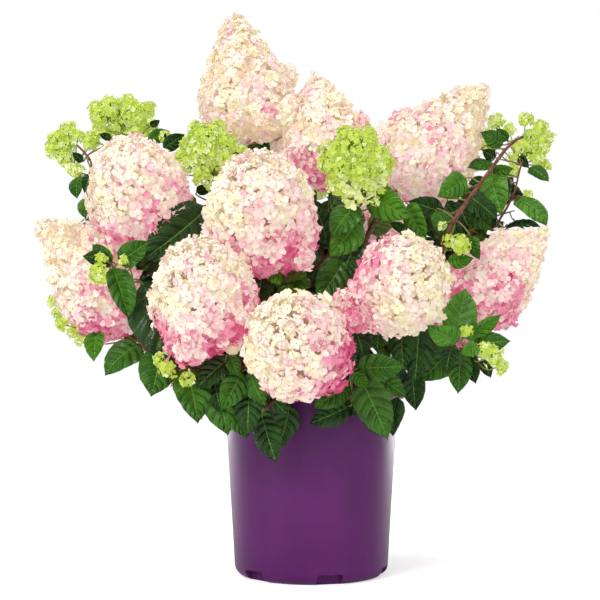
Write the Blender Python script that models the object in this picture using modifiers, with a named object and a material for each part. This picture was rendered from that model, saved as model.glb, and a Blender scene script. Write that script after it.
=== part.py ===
"""A panicle hydrangea shrub in its nursery pot.

Canes fan out of a short root crown in the pot. Each one is a bough that ends in a
mass of leafy twigs, and the twigs carry the flower panicles. Metres, +Z up, front
towards -Y. The origin is the middle of the pot's flat underside.
"""

import math
import random
from dataclasses import dataclass

import bmesh
import bpy
from mathutils import Matrix, Vector
from mathutils.bvhtree import BVHTree

# Clearance between neighbouring solids, and the distance within which points merge
GAP = 0.0003
MERGE = 0.00005
WELD = 0.00001
UP = Vector((0.0, 0.0, 1.0))

# Pot
POT_HEIGHT = 0.252
RIM_RADIUS = 0.138
RIM_DEPTH = 0.008
RIM_SLANT = 0.005
RIM_LIP = 0.002
RIM_EDGE = 0.001
WALL_TOP_RADIUS = 0.1236
WALL_FOOT_RADIUS = 0.1085
WALL = 0.003
FOOT_RADIUS = 0.098
FOOT_CORNER = 0.015
FOOT_EDGE = 0.006
FLOOR = 0.004
BENCH_HEIGHT = 0.0185
BENCH_RADIUS = 0.081
BENCH_SLANT = 0.001
POT_SEGMENTS = 40
NOTCH_COUNT = 6
NOTCH_FIRST_ANGLE = math.radians(13)
NOTCH_WIDTH = 0.035
NOTCH_HEIGHT = 0.0145
NOTCH_DEPTH = 0.0145
NOTCH_OVERRUN = 0.020

# Potting mix
MIX_TOP = 0.232
MIX_CLEAR = 0.0002
MIX_SEGMENTS = 32

# Root crown, the short stem that all canes leave
FLARE_RADIUS = 0.027
CROWN_RADIUS = 0.017
CROWN_TOP = 0.268
CROWN_SHOULDER = 0.006
CROWN_SEGMENTS = 14
STUB_HUB = Vector((0.0, 0.0, 0.258))
STUB_LENGTH = 0.046
STUB_FOOT_RADIUS = 0.00725

# Canes and twigs
CANE_RADIUS = 0.0058
CANE_TIP_RADIUS = 0.0042
TWIG_RADIUS = 0.0030
TWIG_TIP_RADIUS = 0.0020
BOUGH_SHARE = 0.46
CANE_BEND = 0.38
FIRST_FORK = 0.15
FORK_STEP = 0.16
FORK_ALONG = 0.55
FORK_OUT = 0.80
SHOOT_FALL = 0.25
LEAD = 0.004

# Panicles
STALK = 0.020
STALK_RADIUS = 0.0032
STALK_REACH = 0.35
KNOB = 0.055
KNOB_SPREAD = 0.03
AROUND = {"cream": 12, "blush": 12, "lime": 9}
RINGS = {"cream": 9, "blush": 9, "lime": 6}

# Leaves
LEAF_LENGTH = 0.088
LEAF_WIDTH = 0.56
LEAF_BROADEST = 0.40
LEAF_FOLD = 0.05
LEAF_THICKNESS = 0.0024
LEAF_LENGTHS = (0.82, 1.12)
LEAF_DROOPS = (0.10, 0.26)
LEAF_SUNK = 0.005
LEAF_OUT = 0.35
LEAF_SAG = 0.30
FACE_UP = 0.50
FACE_OUT = 0.80
FLATTEST = 0.15
LEAF_SWINGS = (
    (0, 0.35), (25, 0.25), (-25, 0.25), (45, 0.10), (-45, 0.10), (0, -0.20), (70, 0.20), (-70, 0.20),
)
NODE_SPACING = 0.034
LEAFLESS_FOOT = 0.008
TIP_MARGIN = 0.010

# Room kept clear round a new leaf or shoot
ROOT_REACH = 0.006
WIDE = 1.03
WIDE_THICKNESS = 2.2
HEAD_CLEAR = 0.003
SHOOT_CLEAR = 0.006
POT_CLEAR = 0.005
NEAR_LEAVES = 2.2 * LEAF_LENGTH


@dataclass(frozen=True)
class Head:
    """One flower panicle. Azimuth runs from the front (-Y) towards +X, in degrees."""

    name: str
    centre: tuple
    azimuth: float
    elevation: float
    length: float
    width: float
    tone: str


@dataclass(frozen=True)
class Cane:
    """One cane: its way out of the crown and the panicles it carries, the main one first."""

    name: str
    azimuth: float
    rise: float
    heads: tuple
    seed: int


HEADS = (
    Head("panicle_top", (-0.103, 0.065, 0.735), -90, 82, 0.208, 0.155, "cream"),
    Head("panicle_top_middle", (0.018, -0.010, 0.640), 40, 84, 0.174, 0.142, "cream"),
    Head("panicle_top_right", (0.194, 0.005, 0.631), 95, 50, 0.212, 0.157, "cream"),
    Head("panicle_left", (-0.235, -0.130, 0.531), -14, 46, 0.155, 0.150, "cream"),
    Head("panicle_far_left", (-0.326, -0.050, 0.414), -80, 52, 0.205, 0.132, "blush"),
    Head("panicle_middle", (-0.068, -0.165, 0.492), -10, 50, 0.175, 0.162, "blush"),
    Head("panicle_front_left", (-0.139, -0.230, 0.375), -14, 50, 0.166, 0.146, "cream"),
    Head("panicle_front", (-0.020, -0.295, 0.316), -8, 18, 0.148, 0.131, "blush"),
    Head("panicle_front_right", (0.115, -0.225, 0.405), 14, 20, 0.150, 0.148, "cream"),
    Head("panicle_far_right", (0.281, -0.030, 0.425), 85, 40, 0.178, 0.136, "blush"),
    Head("panicle_back_right_low", (0.225, 0.175, 0.365), 128, 30, 0.165, 0.135, "blush"),
    Head("panicle_back_right_high", (0.115, 0.205, 0.530), 152, 52, 0.170, 0.138, "cream"),
    Head("panicle_back_low", (0.000, 0.260, 0.350), 178, 26, 0.165, 0.135, "blush"),
    Head("panicle_back_left_high", (-0.130, 0.195, 0.505), 214, 50, 0.170, 0.140, "cream"),
    Head("panicle_back_left_low", (-0.235, 0.170, 0.350), 236, 30, 0.165, 0.132, "blush"),
    Head("young_panicle_left_high", (-0.279, 0.020, 0.660), -60, 75, 0.060, 0.094, "lime"),
    Head("young_panicle_far_left", (-0.358, 0.000, 0.612), -80, 65, 0.085, 0.064, "lime"),
    Head("young_panicle_middle_left", (-0.141, -0.080, 0.590), -20, 65, 0.092, 0.106, "lime"),
    Head("young_panicle_middle", (0.058, -0.150, 0.557), 4, 55, 0.100, 0.106, "lime"),
    Head("young_panicle_right", (0.322, 0.020, 0.624), 75, 62, 0.090, 0.090, "lime"),
    Head("young_panicle_back", (0.010, 0.135, 0.610), 175, 65, 0.085, 0.095, "lime"),
)

# Where the leafy shoots without a panicle end, by cane
SHOOTS = {
    "top": ((0.04, 0.13, 0.48), (-0.09, 0.10, 0.50)),
    "top_right": ((0.19, 0.08, 0.47), (0.09, -0.06, 0.50)),
    "right_high": ((0.20, -0.12, 0.45), (0.30, -0.01, 0.54)),
    "right": ((0.22, -0.10, 0.31), (0.24, 0.06, 0.30)),
    "front_right": ((0.11, -0.18, 0.25), (0.21, -0.16, 0.30)),
    "front": ((-0.06, -0.20, 0.235), (0.06, -0.19, 0.24)),
    "front_left": ((-0.11, -0.19, 0.25), (-0.18, -0.18, 0.28)),
    "left_low": ((-0.24, -0.11, 0.30), (-0.275, -0.16, 0.41)),
    "back_right": ((0.16, 0.17, 0.26), (0.22, 0.10, 0.46)),
    "back": ((0.06, 0.20, 0.26), (-0.05, 0.21, 0.27)),
    "back_left": ((-0.13, 0.19, 0.26), (-0.23, 0.07, 0.33)),
}

CANES = (
    Cane("top", 10, 88, ("panicle_top_middle", "panicle_top"), 11),
    Cane("top_right", 105, 58, ("panicle_top_right",), 12),
    Cane("right_high", 62, 45, ("young_panicle_right",), 13),
    Cane("right", 84, 22, ("panicle_far_right",), 14),
    Cane("front_right", 38, 22, ("panicle_front_right",), 15),
    Cane("front", -3, 16, ("panicle_front",), 16),
    Cane("front_left", -42, 22, ("panicle_front_left",), 17),
    Cane("left_low", -86, 22, ("panicle_far_left",), 18),
    Cane("middle", -12, 58, ("panicle_middle", "young_panicle_middle", "young_panicle_middle_left"), 19),
    Cane("left", -72, 56, ("panicle_left", "young_panicle_left_high", "young_panicle_far_left"), 20),
    Cane("back_right", 132, 24, ("panicle_back_right_low", "panicle_back_right_high"), 21),
    Cane("back", 182, 24, ("panicle_back_low", "young_panicle_back"), 22),
    Cane("back_left", 228, 24, ("panicle_back_left_low", "panicle_back_left_high"), 23),
)


# Scene and materials


def clear_scene():
    for old in list(bpy.data.objects):
        bpy.data.objects.remove(old, do_unlink=True)


def collection(name):
    made = bpy.data.collections.new(name)
    bpy.context.scene.collection.children.link(made)
    return made


def material(name, colour, roughness):
    made = bpy.data.materials.new(name)
    made.use_nodes = True
    shader = made.node_tree.nodes["Principled BSDF"]
    shader.inputs["Base Color"].default_value = (*colour, 1.0)
    shader.inputs["Roughness"].default_value = roughness
    shader.inputs["Metallic"].default_value = 0.0
    made.diffuse_color = (*colour, 1.0)
    return made


def mesh_object(name, mesh, home, finish=None):
    made = bpy.data.objects.new(name, mesh)
    home.objects.link(made)
    if finish is not None:
        mesh.materials.clear()
        mesh.materials.append(finish)
    return made


# Turned shapes


def turned(name, profile, segments, home, finish):
    """A solid of revolution from (radius, height) points that run down the outer side."""
    outline = bmesh.new()
    points = [outline.verts.new((radius, 0.0, height)) for radius, height in profile]
    for upper, lower in zip(points, points[1:]):
        outline.edges.new((upper, lower))
    mesh = bpy.data.meshes.new(name)
    outline.to_mesh(mesh)
    outline.free()
    made = mesh_object(name, mesh, home, finish)
    screw = made.modifiers.new("Turn", "SCREW")
    screw.steps = segments
    screw.render_steps = segments
    screw.use_merge_vertices = True
    screw.merge_threshold = MERGE
    screw.use_smooth_shade = True
    return made


def arc(centre_radius, centre_height, radius, start, end, steps):
    """Points of a round corner, from one angle to the other, in degrees."""
    corner = []
    for step in range(steps + 1):
        angle = math.radians(start + (end - start) * step / steps)
        corner.append(
            (centre_radius + radius * math.cos(angle), centre_height + radius * math.sin(angle))
        )
    return corner


def wall_radius(height):
    """Outer radius of the tapered wall."""
    share = (height - FOOT_CORNER) / (POT_HEIGHT - RIM_DEPTH - FOOT_CORNER)
    return WALL_FOOT_RADIUS + (WALL_TOP_RADIUS - WALL_FOOT_RADIUS) * share


def pot_inner_side():
    """The inside of the pot from the middle of the floor up to the rim."""
    return [
        (0.0, FLOOR),
        (BENCH_RADIUS, FLOOR),
        (BENCH_RADIUS + BENCH_SLANT, BENCH_HEIGHT),
        (wall_radius(BENCH_HEIGHT) - WALL, BENCH_HEIGHT),
        (WALL_TOP_RADIUS - WALL, POT_HEIGHT - RIM_DEPTH),
        (WALL_TOP_RADIUS - WALL + RIM_LIP, POT_HEIGHT - RIM_EDGE),
    ]


def notch_cutter(index, home):
    """One drainage notch: a block let into the bottom corner of the pot."""
    angle = NOTCH_FIRST_ANGLE + index * math.tau / NOTCH_COUNT
    block = bmesh.new()
    bmesh.ops.create_cube(block, size=1.0)
    reach = NOTCH_DEPTH + NOTCH_OVERRUN
    bmesh.ops.scale(block, vec=(NOTCH_WIDTH, reach, 2 * NOTCH_HEIGHT), verts=block.verts)
    mesh = bpy.data.meshes.new(f"notch_cutter_{index}")
    block.to_mesh(mesh)
    block.free()
    cutter = mesh_object(f"notch_cutter_{index}", mesh, home)
    middle = WALL_FOOT_RADIUS - NOTCH_DEPTH + reach / 2
    cutter.location = (middle * math.sin(angle), -middle * math.cos(angle), 0.0)
    cutter.rotation_euler = (0.0, 0.0, angle)
    cutter.hide_render = True
    cutter.display_type = "WIRE"
    return cutter


def build_pot(parts, cutters, finish):
    """The tapered pot with its flared rim, its rounded foot and the notches cut in it."""
    rim_top = [
        (RIM_RADIUS - RIM_LIP, POT_HEIGHT),
        (RIM_RADIUS, POT_HEIGHT - RIM_EDGE),
        (RIM_RADIUS, POT_HEIGHT - RIM_DEPTH + RIM_SLANT),
        (WALL_TOP_RADIUS, POT_HEIGHT - RIM_DEPTH),
    ]
    corner = arc(WALL_FOOT_RADIUS - FOOT_CORNER, FOOT_CORNER, FOOT_CORNER, 0, -80, 4)
    foot = [(FOOT_RADIUS - FOOT_EDGE, 0.0), (0.0, 0.0)]
    profile = pot_inner_side() + rim_top + corner + foot
    pot = turned("pot", profile, POT_SEGMENTS, parts, finish)
    for index in range(NOTCH_COUNT):
        cut = pot.modifiers.new(f"Notch {index + 1}", "BOOLEAN")
        cut.operation = "DIFFERENCE"
        cut.solver = "EXACT"
        cut.object = notch_cutter(index, cutters)
    return pot


def build_mix(parts, finish):
    """The filling: it follows the inside of the pot, a gap clear of it."""
    slope = (WALL_TOP_RADIUS - wall_radius(BENCH_HEIGHT)) / (POT_HEIGHT - RIM_DEPTH - BENCH_HEIGHT)
    low = wall_radius(BENCH_HEIGHT) - WALL - GAP - MIX_CLEAR
    high = low + slope * (MIX_TOP - BENCH_HEIGHT)
    profile = [
        (0.0, MIX_TOP),
        (high, MIX_TOP),
        (low, BENCH_HEIGHT + GAP),
        (BENCH_RADIUS - GAP, BENCH_HEIGHT + GAP),
        (BENCH_RADIUS - GAP - BENCH_SLANT, FLOOR + GAP),
        (0.0, FLOOR + GAP),
    ]
    return turned("potting_mix", profile, MIX_SEGMENTS, parts, finish)


# Tubes along smooth ways


def aim(azimuth, elevation):
    """Direction of an azimuth from the front and an elevation, both in degrees."""
    around = math.radians(azimuth)
    up = math.radians(elevation)
    return Vector((math.sin(around) * math.cos(up), -math.cos(around) * math.cos(up), math.sin(up)))


def bezier(start, start_aim, end, end_aim):
    """A smooth way between two places, given as a function of its share from 0 to 1."""
    reach = (end - start).length * CANE_BEND
    handle_a = start + start_aim * reach
    handle_b = end - end_aim * reach

    def place(share):
        rest = 1.0 - share
        return (
            start * rest**3
            + handle_a * (3 * rest**2 * share)
            + handle_b * (3 * rest * share**2)
            + end * share**3
        )

    return place


def heading(way, share, step=0.01):
    """Direction of a way at one share of it."""
    low = max(0.0, share - step)
    high = min(1.0, share + step)
    return (way(high) - way(low)).normalized()


def stretch(way, first, last, count):
    """Places along a way with a short straight lead at both ends, so its caps sit square."""
    start = way(first)
    end = way(last)
    inner = [way(first + (last - first) * k / count) for k in range(1, count)]
    return [
        start,
        start + heading(way, first) * LEAD,
        *inner,
        end - heading(way, last) * LEAD,
        end,
    ]


def tube(name, places, first_radius, last_radius, resolution, home, finish=None):
    """A tapering round limb: a curve with a bevel and filled caps."""
    curve = bpy.data.curves.new(name, "CURVE")
    curve.dimensions = "3D"
    curve.bevel_depth = 1.0
    curve.bevel_resolution = resolution
    curve.use_fill_caps = True
    spline = curve.splines.new("POLY")
    spline.points.add(len(places) - 1)
    for index, (point, place) in enumerate(zip(spline.points, places)):
        share = index / (len(places) - 1)
        point.co = (*place, 1.0)
        point.radius = first_radius + (last_radius - first_radius) * share
    made = bpy.data.objects.new(name, curve)
    home.objects.link(made)
    if finish is not None:
        curve.materials.append(finish)
    return made


def as_mesh(thing, home, finish=None):
    """The object's evaluated shape as a mesh object of its own, in place of it."""
    bpy.context.view_layer.update()
    graph = bpy.context.evaluated_depsgraph_get()
    mesh = bpy.data.meshes.new_from_object(thing.evaluated_get(graph))
    weld = bmesh.new()
    weld.from_mesh(mesh)
    bmesh.ops.remove_doubles(weld, verts=weld.verts, dist=WELD)
    weld.to_mesh(mesh)
    weld.free()
    name = thing.name
    place = thing.matrix_world.copy()
    bpy.data.objects.remove(thing, do_unlink=True)
    made = mesh_object(name, mesh, home, finish)
    made.matrix_world = place
    return made


def loose_bodies(shape):
    """The connected groups of faces in a bmesh."""
    unseen = set(shape.faces)
    bodies = []
    while unseen:
        waiting = [unseen.pop()]
        body = set(waiting)
        while waiting:
            beside = {other for edge in waiting.pop().edges for other in edge.link_faces}
            fresh = beside & unseen
            unseen -= fresh
            body |= fresh
            waiting.extend(fresh)
        bodies.append(body)
    return sorted(bodies, key=len, reverse=True)


def keep_main_body(mesh):
    """Drops loose scraps and fills sealed hollows: only the largest outer skin stays."""
    shape = bmesh.new()
    shape.from_mesh(mesh)
    extra = [face for body in loose_bodies(shape)[1:] for face in body]
    bmesh.ops.delete(shape, geom=extra, context="FACES")
    bmesh.ops.triangulate(shape, faces=shape.faces)
    shape.to_mesh(mesh)
    shape.free()


def fault_places(mesh):
    """Middles of the edges that keep a mesh from being closed with its faces one way round."""
    shape = bmesh.new()
    shape.from_mesh(mesh)
    faults = [
        (edge.verts[0].co + edge.verts[1].co) / 2
        for edge in shape.edges
        if not edge.is_manifold or not edge.is_contiguous
    ]
    if not shape.faces:
        faults.append(Vector())
    shape.free()
    return faults


def distance_to(piece, place):
    """Distance from a place to the middle of a piece's nearest face."""
    matrix = piece.matrix_world
    return min((matrix @ face.center - place).length for face in piece.data.polygons)


def union_mesh(base, group, solver):
    """The base joined to all pieces of the group, as a new mesh."""
    join = base.modifiers.new("Join", "BOOLEAN")
    join.operation = "UNION"
    join.operand_type = "COLLECTION"
    join.collection = group
    join.solver = solver
    bpy.context.view_layer.update()
    graph = bpy.context.evaluated_depsgraph_get()
    joined = bpy.data.meshes.new_from_object(base.evaluated_get(graph))
    base.modifiers.remove(join)
    keep_main_body(joined)
    return joined


def fused(base, pieces, home, finish):
    """Joins the pieces onto the base by one union on a collection, then removes them.

    Where neither solver gives a closed body, the piece next to the fault is left out.
    """
    if not pieces:
        return base
    name = base.name
    group = collection(f"{name}_pieces")
    for piece in pieces:
        for old in list(piece.users_collection):
            old.objects.unlink(piece)
        group.objects.link(piece)
    while True:
        joined = union_mesh(base, group, "EXACT")
        faults = fault_places(joined)
        if faults:
            joined = union_mesh(base, group, "MANIFOLD")
        if not fault_places(joined):
            break
        worst = min(group.objects, key=lambda piece: distance_to(piece, faults[0]))
        bpy.data.objects.remove(worst, do_unlink=True)
    for piece in list(group.objects):
        bpy.data.objects.remove(piece, do_unlink=True)
    bpy.data.collections.remove(group)
    bpy.data.objects.remove(base, do_unlink=True)
    return mesh_object(name, joined, home, finish)


# Root crown and canes


def build_crown(parts, finish):
    """Root flare from a flat foot on the mix, with a stub for each cane."""
    foot = MIX_TOP + GAP
    profile = [
        (0.0, CROWN_TOP),
        (CROWN_RADIUS * 0.7, CROWN_TOP),
        (CROWN_RADIUS, CROWN_TOP - CROWN_SHOULDER),
        (CROWN_RADIUS * 1.08, foot + 2 * CROWN_SHOULDER),
        (FLARE_RADIUS * 0.82, foot + 0.7 * CROWN_SHOULDER),
        (FLARE_RADIUS, foot),
        (0.0, foot),
    ]
    crown = as_mesh(turned("root_crown", profile, CROWN_SEGMENTS, parts, finish), parts, finish)
    stubs = []
    for cane in CANES:
        places = [STUB_HUB, STUB_HUB + aim(cane.azimuth, cane.rise) * STUB_LENGTH]
        stub = tube(f"stub_{cane.name}", places, STUB_FOOT_RADIUS, CANE_RADIUS, 1, parts)
        stubs.append(as_mesh(stub, parts))
    return fused(crown, stubs, parts, finish)


def head_axis(head):
    return aim(head.azimuth, head.elevation)


def stalk_foot(head):
    """Where the panicle's own stalk starts."""
    return Vector(head.centre) - head_axis(head) * (head.length / 2 + STALK)


def cane_way(cane, heads):
    """The way of a cane from its stub to its main panicle."""
    out = aim(cane.azimuth, cane.rise)
    start = STUB_HUB + out * (STUB_LENGTH + GAP)
    main = heads[cane.heads[0]]
    axis = head_axis(main)
    end = stalk_foot(main) - axis * GAP
    return bezier(start, out, end, axis)


class Line:
    """The middle of a limb: straight runs between places, measured from its foot."""

    def __init__(self, places):
        self.places = places
        self.runs = [(b - a).length for a, b in zip(places, places[1:])]
        self.length = sum(self.runs)

    def at(self, distance):
        """Place and direction at a distance from the foot."""
        index = 0
        while distance > self.runs[index] and index < len(self.runs) - 1:
            distance -= self.runs[index]
            index += 1
        along = (self.places[index + 1] - self.places[index]).normalized()
        return self.places[index] + along * distance, along


def side_line(main, distance, end, end_aim, count=4):
    """A side twig, which leaves the main stem at a slant."""
    start, along = main.at(distance)
    towards = (end - start).normalized()
    way = bezier(start, (along * FORK_ALONG + towards * FORK_OUT).normalized(), end, end_aim)
    places = stretch(way, 0.0, 1.0, count)
    del places[1]
    return Line(places)


def build_bough(cane, way, parts, finish):
    """The bare lower part of a cane, as one tapering limb."""
    places = stretch(way, 0.0, BOUGH_SHARE, 4)
    return tube(f"bough_{cane.name}", places, CANE_RADIUS, CANE_TIP_RADIUS, 1, parts, finish)


# Panicles

PROFILE = (
    (0.00, 0.36),
    (0.06, 0.70),
    (0.15, 0.92),
    (0.30, 1.00),
    (0.50, 0.83),
    (0.70, 0.56),
    (0.85, 0.35),
    (0.95, 0.20),
    (1.00, 0.04),
)
YOUNG_PROFILE = (
    (0.00, 0.30),
    (0.10, 0.62),
    (0.35, 0.96),
    (0.55, 1.00),
    (0.80, 0.80),
    (0.93, 0.50),
    (1.00, 0.05),
)


def profile_of(head):
    return YOUNG_PROFILE if head.tone == "lime" else PROFILE


def width_share(head, share):
    """Half-width of the panicle at a share of its length, 1 at its widest."""
    table = profile_of(head)
    for (low, first), (high, second) in zip(table, table[1:]):
        if share <= high:
            return first + (second - first) * (share - low) / (high - low)
    return table[-1][1]


def head_base(head):
    return Vector(head.centre) - head_axis(head) * (head.length / 2)


def head_frame(head):
    """Matrix from the panicle's own frame, +Z along its axis from its base, to the world."""
    turn = head_axis(head).to_track_quat("Z", "Y").to_matrix().to_4x4()
    return Matrix.Translation(head_base(head)) @ turn


def inside_head(head, place, margin):
    """Whether a place is in a panicle's body or within the margin of it."""
    axis = head_axis(head)
    offset = place - head_base(head)
    along = offset.dot(axis)
    if along < -margin or along > head.length + margin:
        return False
    across = (offset - axis * along).length
    share = min(1.0, max(0.0, along / head.length))
    return across < width_share(head, share) * head.width / 2 + margin


def knobbly_body(head, chance, home):
    """The flower body: a sphere drawn out to the panicle's profile, every other point a knob."""
    around = AROUND[head.tone]
    rings = RINGS[head.tone]
    body = bmesh.new()
    bmesh.ops.create_uvsphere(body, u_segments=around, v_segments=rings, radius=1.0)
    for vertex in body.verts:
        share = math.acos(max(-1.0, min(1.0, -vertex.co.z))) / math.pi
        angle = math.atan2(vertex.co.y, vertex.co.x)
        row = round(share * rings)
        odd = (row + round(angle / math.tau * around)) % 2
        knob = 1.0 + (KNOB if odd else -KNOB) + chance.uniform(-KNOB_SPREAD, KNOB_SPREAD)
        radius = width_share(head, share) * head.width / 2 * knob
        if row in (0, rings):
            radius = 0.0
        vertex.co = (radius * math.cos(angle), radius * math.sin(angle), share * head.length)
    name = f"{head.name}_body"
    mesh = bpy.data.meshes.new(name)
    body.to_mesh(mesh)
    body.free()
    return mesh_object(name, mesh, home)


def build_head(head, parts, finish):
    """A panicle: its stalk and its knobbly flower body, in one solid."""
    chance = random.Random(head.name)
    axis = head_axis(head)
    foot = stalk_foot(head)
    into = foot + axis * (STALK + head.length * STALK_REACH)
    stalk = tube(head.name, [foot, foot + axis * LEAD, into], STALK_RADIUS, STALK_RADIUS, 1, parts)
    stalk = as_mesh(stalk, parts)
    body = knobbly_body(head, chance, parts)
    body.matrix_world = head_frame(head)
    return fused(stalk, [body], parts, finish)


# The room that each piece keeps to


def tree_of(thing):
    """Search tree of an object's world-space shape."""
    bpy.context.view_layer.update()
    graph = bpy.context.evaluated_depsgraph_get()
    mesh = bpy.data.meshes.new_from_object(thing.evaluated_get(graph))
    mesh.transform(thing.matrix_world)
    shape = bmesh.new()
    shape.from_mesh(mesh)
    tree = BVHTree.FromBMesh(shape)
    shape.free()
    bpy.data.meshes.remove(mesh)
    return tree


def leaf_places(root, out, normal, length, droop):
    """The six corners of a leaf, by name: four round its outline and two in its middle."""
    side = normal.cross(out).normalized()
    half = length * LEAF_WIDTH / 2
    fold = length * LEAF_FOLD

    def at(along, across, up):
        return root + out * (along * length) + side * across + normal * up

    return {
        "root": at(-LEAF_SUNK, 0.0, 0.0),
        "left": at(LEAF_BROADEST, half, fold),
        "right": at(LEAF_BROADEST, -half, fold),
        "tip": at(1.0, 0.0, -droop * length),
        "top": at(LEAF_BROADEST, 0.0, LEAF_THICKNESS / 2),
        "under": at(LEAF_BROADEST, 0.0, -LEAF_THICKNESS / 2),
    }


def widened(corners, root, out, length):
    """The corners of a leaf moved a little outwards, off its own twig, to test its room with."""
    middle = (corners["top"] + corners["under"]) / 2
    wide = {}
    for name in ("left", "right"):
        wide[name] = corners[name] + (corners[name] - middle) * (WIDE - 1.0)
    for name in ("top", "under"):
        wide[name] = middle + (corners[name] - middle) * WIDE_THICKNESS
    wide["tip"] = corners["tip"] + out * (length * (WIDE - 1.0))
    wide["root"] = root + out * ROOT_REACH
    return wide


OUTLINE = ("tip", "left", "root", "right")


def leaf_tree(corners):
    """Search tree of a leaf's eight faces."""
    names = list(corners)
    places = [corners[name] for name in names]
    faces = []
    for first, second in zip(OUTLINE, OUTLINE[1:] + OUTLINE[:1]):
        a = names.index(first)
        b = names.index(second)
        faces.append((names.index("top"), a, b))
        faces.append((names.index("under"), b, a))
    return BVHTree.FromPolygons(places, faces)


def leaf_object(name, corners, home):
    """A leaf drawn from a sphere primitive of four sides and two poles."""
    body = bmesh.new()
    bmesh.ops.create_uvsphere(body, u_segments=4, v_segments=2, radius=1.0)
    for vertex in body.verts:
        if vertex.co.z > 0.5:
            vertex.co = corners["top"]
        elif vertex.co.z < -0.5:
            vertex.co = corners["under"]
        else:
            turn = math.atan2(vertex.co.y, vertex.co.x) % math.tau
            vertex.co = corners[OUTLINE[round(turn / (math.pi / 2)) % 4]]
    mesh = bpy.data.meshes.new(name)
    body.to_mesh(mesh)
    body.free()
    return mesh_object(name, mesh, home)


class Room:
    """What is already placed, and whether a new leaf or twig would be clear of it."""

    def __init__(self, heads):
        self.heads = heads
        self.limbs = []
        self.leaves = []

    def add_limb(self, owner, tree):
        self.limbs.append((owner, tree))

    def add_leaf(self, corners):
        self.leaves.append((leaf_tree(corners), (corners["root"] + corners["tip"]) / 2))

    def in_pot(self, place):
        reach = math.hypot(place.x, place.y)
        return place.z < POT_HEIGHT + POT_CLEAR and reach < RIM_RADIUS + POT_CLEAR

    def in_head(self, place):
        return any(inside_head(head, place, HEAD_CLEAR) for head in self.heads)

    def leaf_fits(self, owner, wide):
        """Whether a leaf, given with a margin round it, is clear of all but its own twigs."""
        middle = (wide["root"] + wide["tip"]) / 2
        if any(self.in_pot(place) or self.in_head(place) for place in (*wide.values(), middle)):
            return False
        tree = leaf_tree(wide)
        others = [limb for limb_owner, limb in self.limbs if limb_owner != owner]
        others += [leaf for leaf, place in self.leaves if (place - middle).length < NEAR_LEAVES]
        return not any(tree.overlap(other) for other in others)


# Leafy masses


def mass_lines(cane, way, heads):
    """The lines of a mass's main stem and of the side twigs that leave it."""
    places = stretch(way, BOUGH_SHARE, 1.0, 4)
    places[0] += heading(way, BOUGH_SHARE) * GAP
    main = Line(places)
    lines = [main]
    mark = main.length * FIRST_FORK
    for name in cane.heads[1:]:
        axis = head_axis(heads[name])
        lines.append(side_line(main, mark, stalk_foot(heads[name]) - axis * GAP, axis))
        mark += main.length * FORK_STEP
    for place in SHOOTS.get(cane.name, ()):
        end = Vector(place)
        out = (end - main.at(mark)[0]).normalized()
        line = side_line(main, mark, end, (out - UP * SHOOT_FALL).normalized(), 3)
        if clear_of_heads(line, heads):
            lines.append(line)
        mark += main.length * FORK_STEP
    return lines


def clear_of_heads(line, heads):
    """Whether a twig stays out of every panicle."""
    places = [line.at(line.length * step / 12)[0] for step in range(13)]
    return not any(
        inside_head(head, place, SHOOT_CLEAR) for head in heads.values() for place in places
    )


def outward(place):
    """Level direction away from the pot's axis, or up where a place is on it."""
    flat = Vector((place.x, place.y, 0.0))
    return flat.normalized() if flat.length > CROWN_RADIUS else UP


def leaf_tries(place, along, turn):
    """Ways a leaf may stand at a node: the first is the natural one."""
    across = along.orthogonal().normalized()
    for swing, lift in LEAF_SWINGS:
        out = Matrix.Rotation(turn + math.radians(swing), 3, along) @ across
        out = (out + along * lift).normalized()
        out = (out + outward(place) * LEAF_OUT - UP * LEAF_SAG).normalized()
        face = UP * FACE_UP + outward(place) * FACE_OUT
        normal = face - out * face.dot(out)
        if normal.length > FLATTEST:
            yield out, normal.normalized()


def leafy_marks(line):
    """Distances along a twig at which its leaf pairs stand, counted from its tip."""
    pairs = max(1, int((line.length - LEAFLESS_FOOT) / NODE_SPACING))
    return [line.length - TIP_MARGIN - k * NODE_SPACING for k in range(pairs)]


def grow_leaves(cane, lines, room, chance, home):
    """Opposite leaf pairs along each twig, each pair turned across the last."""
    made = []
    for line in lines:
        turn = chance.uniform(0, math.pi)
        for mark in leafy_marks(line):
            place, along = line.at(mark)
            for side in (0.0, math.pi):
                length = LEAF_LENGTH * chance.uniform(*LEAF_LENGTHS)
                droop = chance.uniform(*LEAF_DROOPS)
                for out, normal in leaf_tries(place, along, turn + side):
                    corners = leaf_places(place, out, normal, length, droop)
                    wide = widened(corners, place, out, length)
                    if room.leaf_fits(cane.name, wide):
                        made.append(leaf_object(f"{cane.name}_leaf_{len(made)}", corners, home))
                        room.add_leaf(wide)
                        break
            turn += math.pi / 2
    return made


def build_stems(cane, lines, parts):
    """The twigs of one mass as separate closed tubes, the main stem first."""
    tubes = []
    for number, line in enumerate(lines):
        name = f"{cane.name}_twig_{number}" if number else f"foliage_{cane.name}"
        thick = TWIG_RADIUS if number else CANE_TIP_RADIUS
        thin = TWIG_TIP_RADIUS if number else TWIG_RADIUS
        tubes.append(as_mesh(tube(name, line.places, thick, thin, 0, parts), parts))
    return tubes


# The whole plant


def finishes():
    """The materials of the pot, the filling, the bark, the leaves and the three flower tones."""
    return {
        "pot": material("pot_plastic", (0.108, 0.021, 0.123), 0.38),
        "mix": material("bark_mix", (0.060, 0.032, 0.018), 0.95),
        "bark": material("cane_bark", (0.180, 0.070, 0.050), 0.70),
        "leaf": material("leaf_green", (0.030, 0.110, 0.015), 0.50),
        "cream": material("petal_cream", (0.860, 0.780, 0.600), 0.65),
        "blush": material("petal_blush", (0.850, 0.450, 0.520), 0.65),
        "lime": material("young_petal_lime", (0.450, 0.620, 0.090), 0.65),
    }


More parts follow.
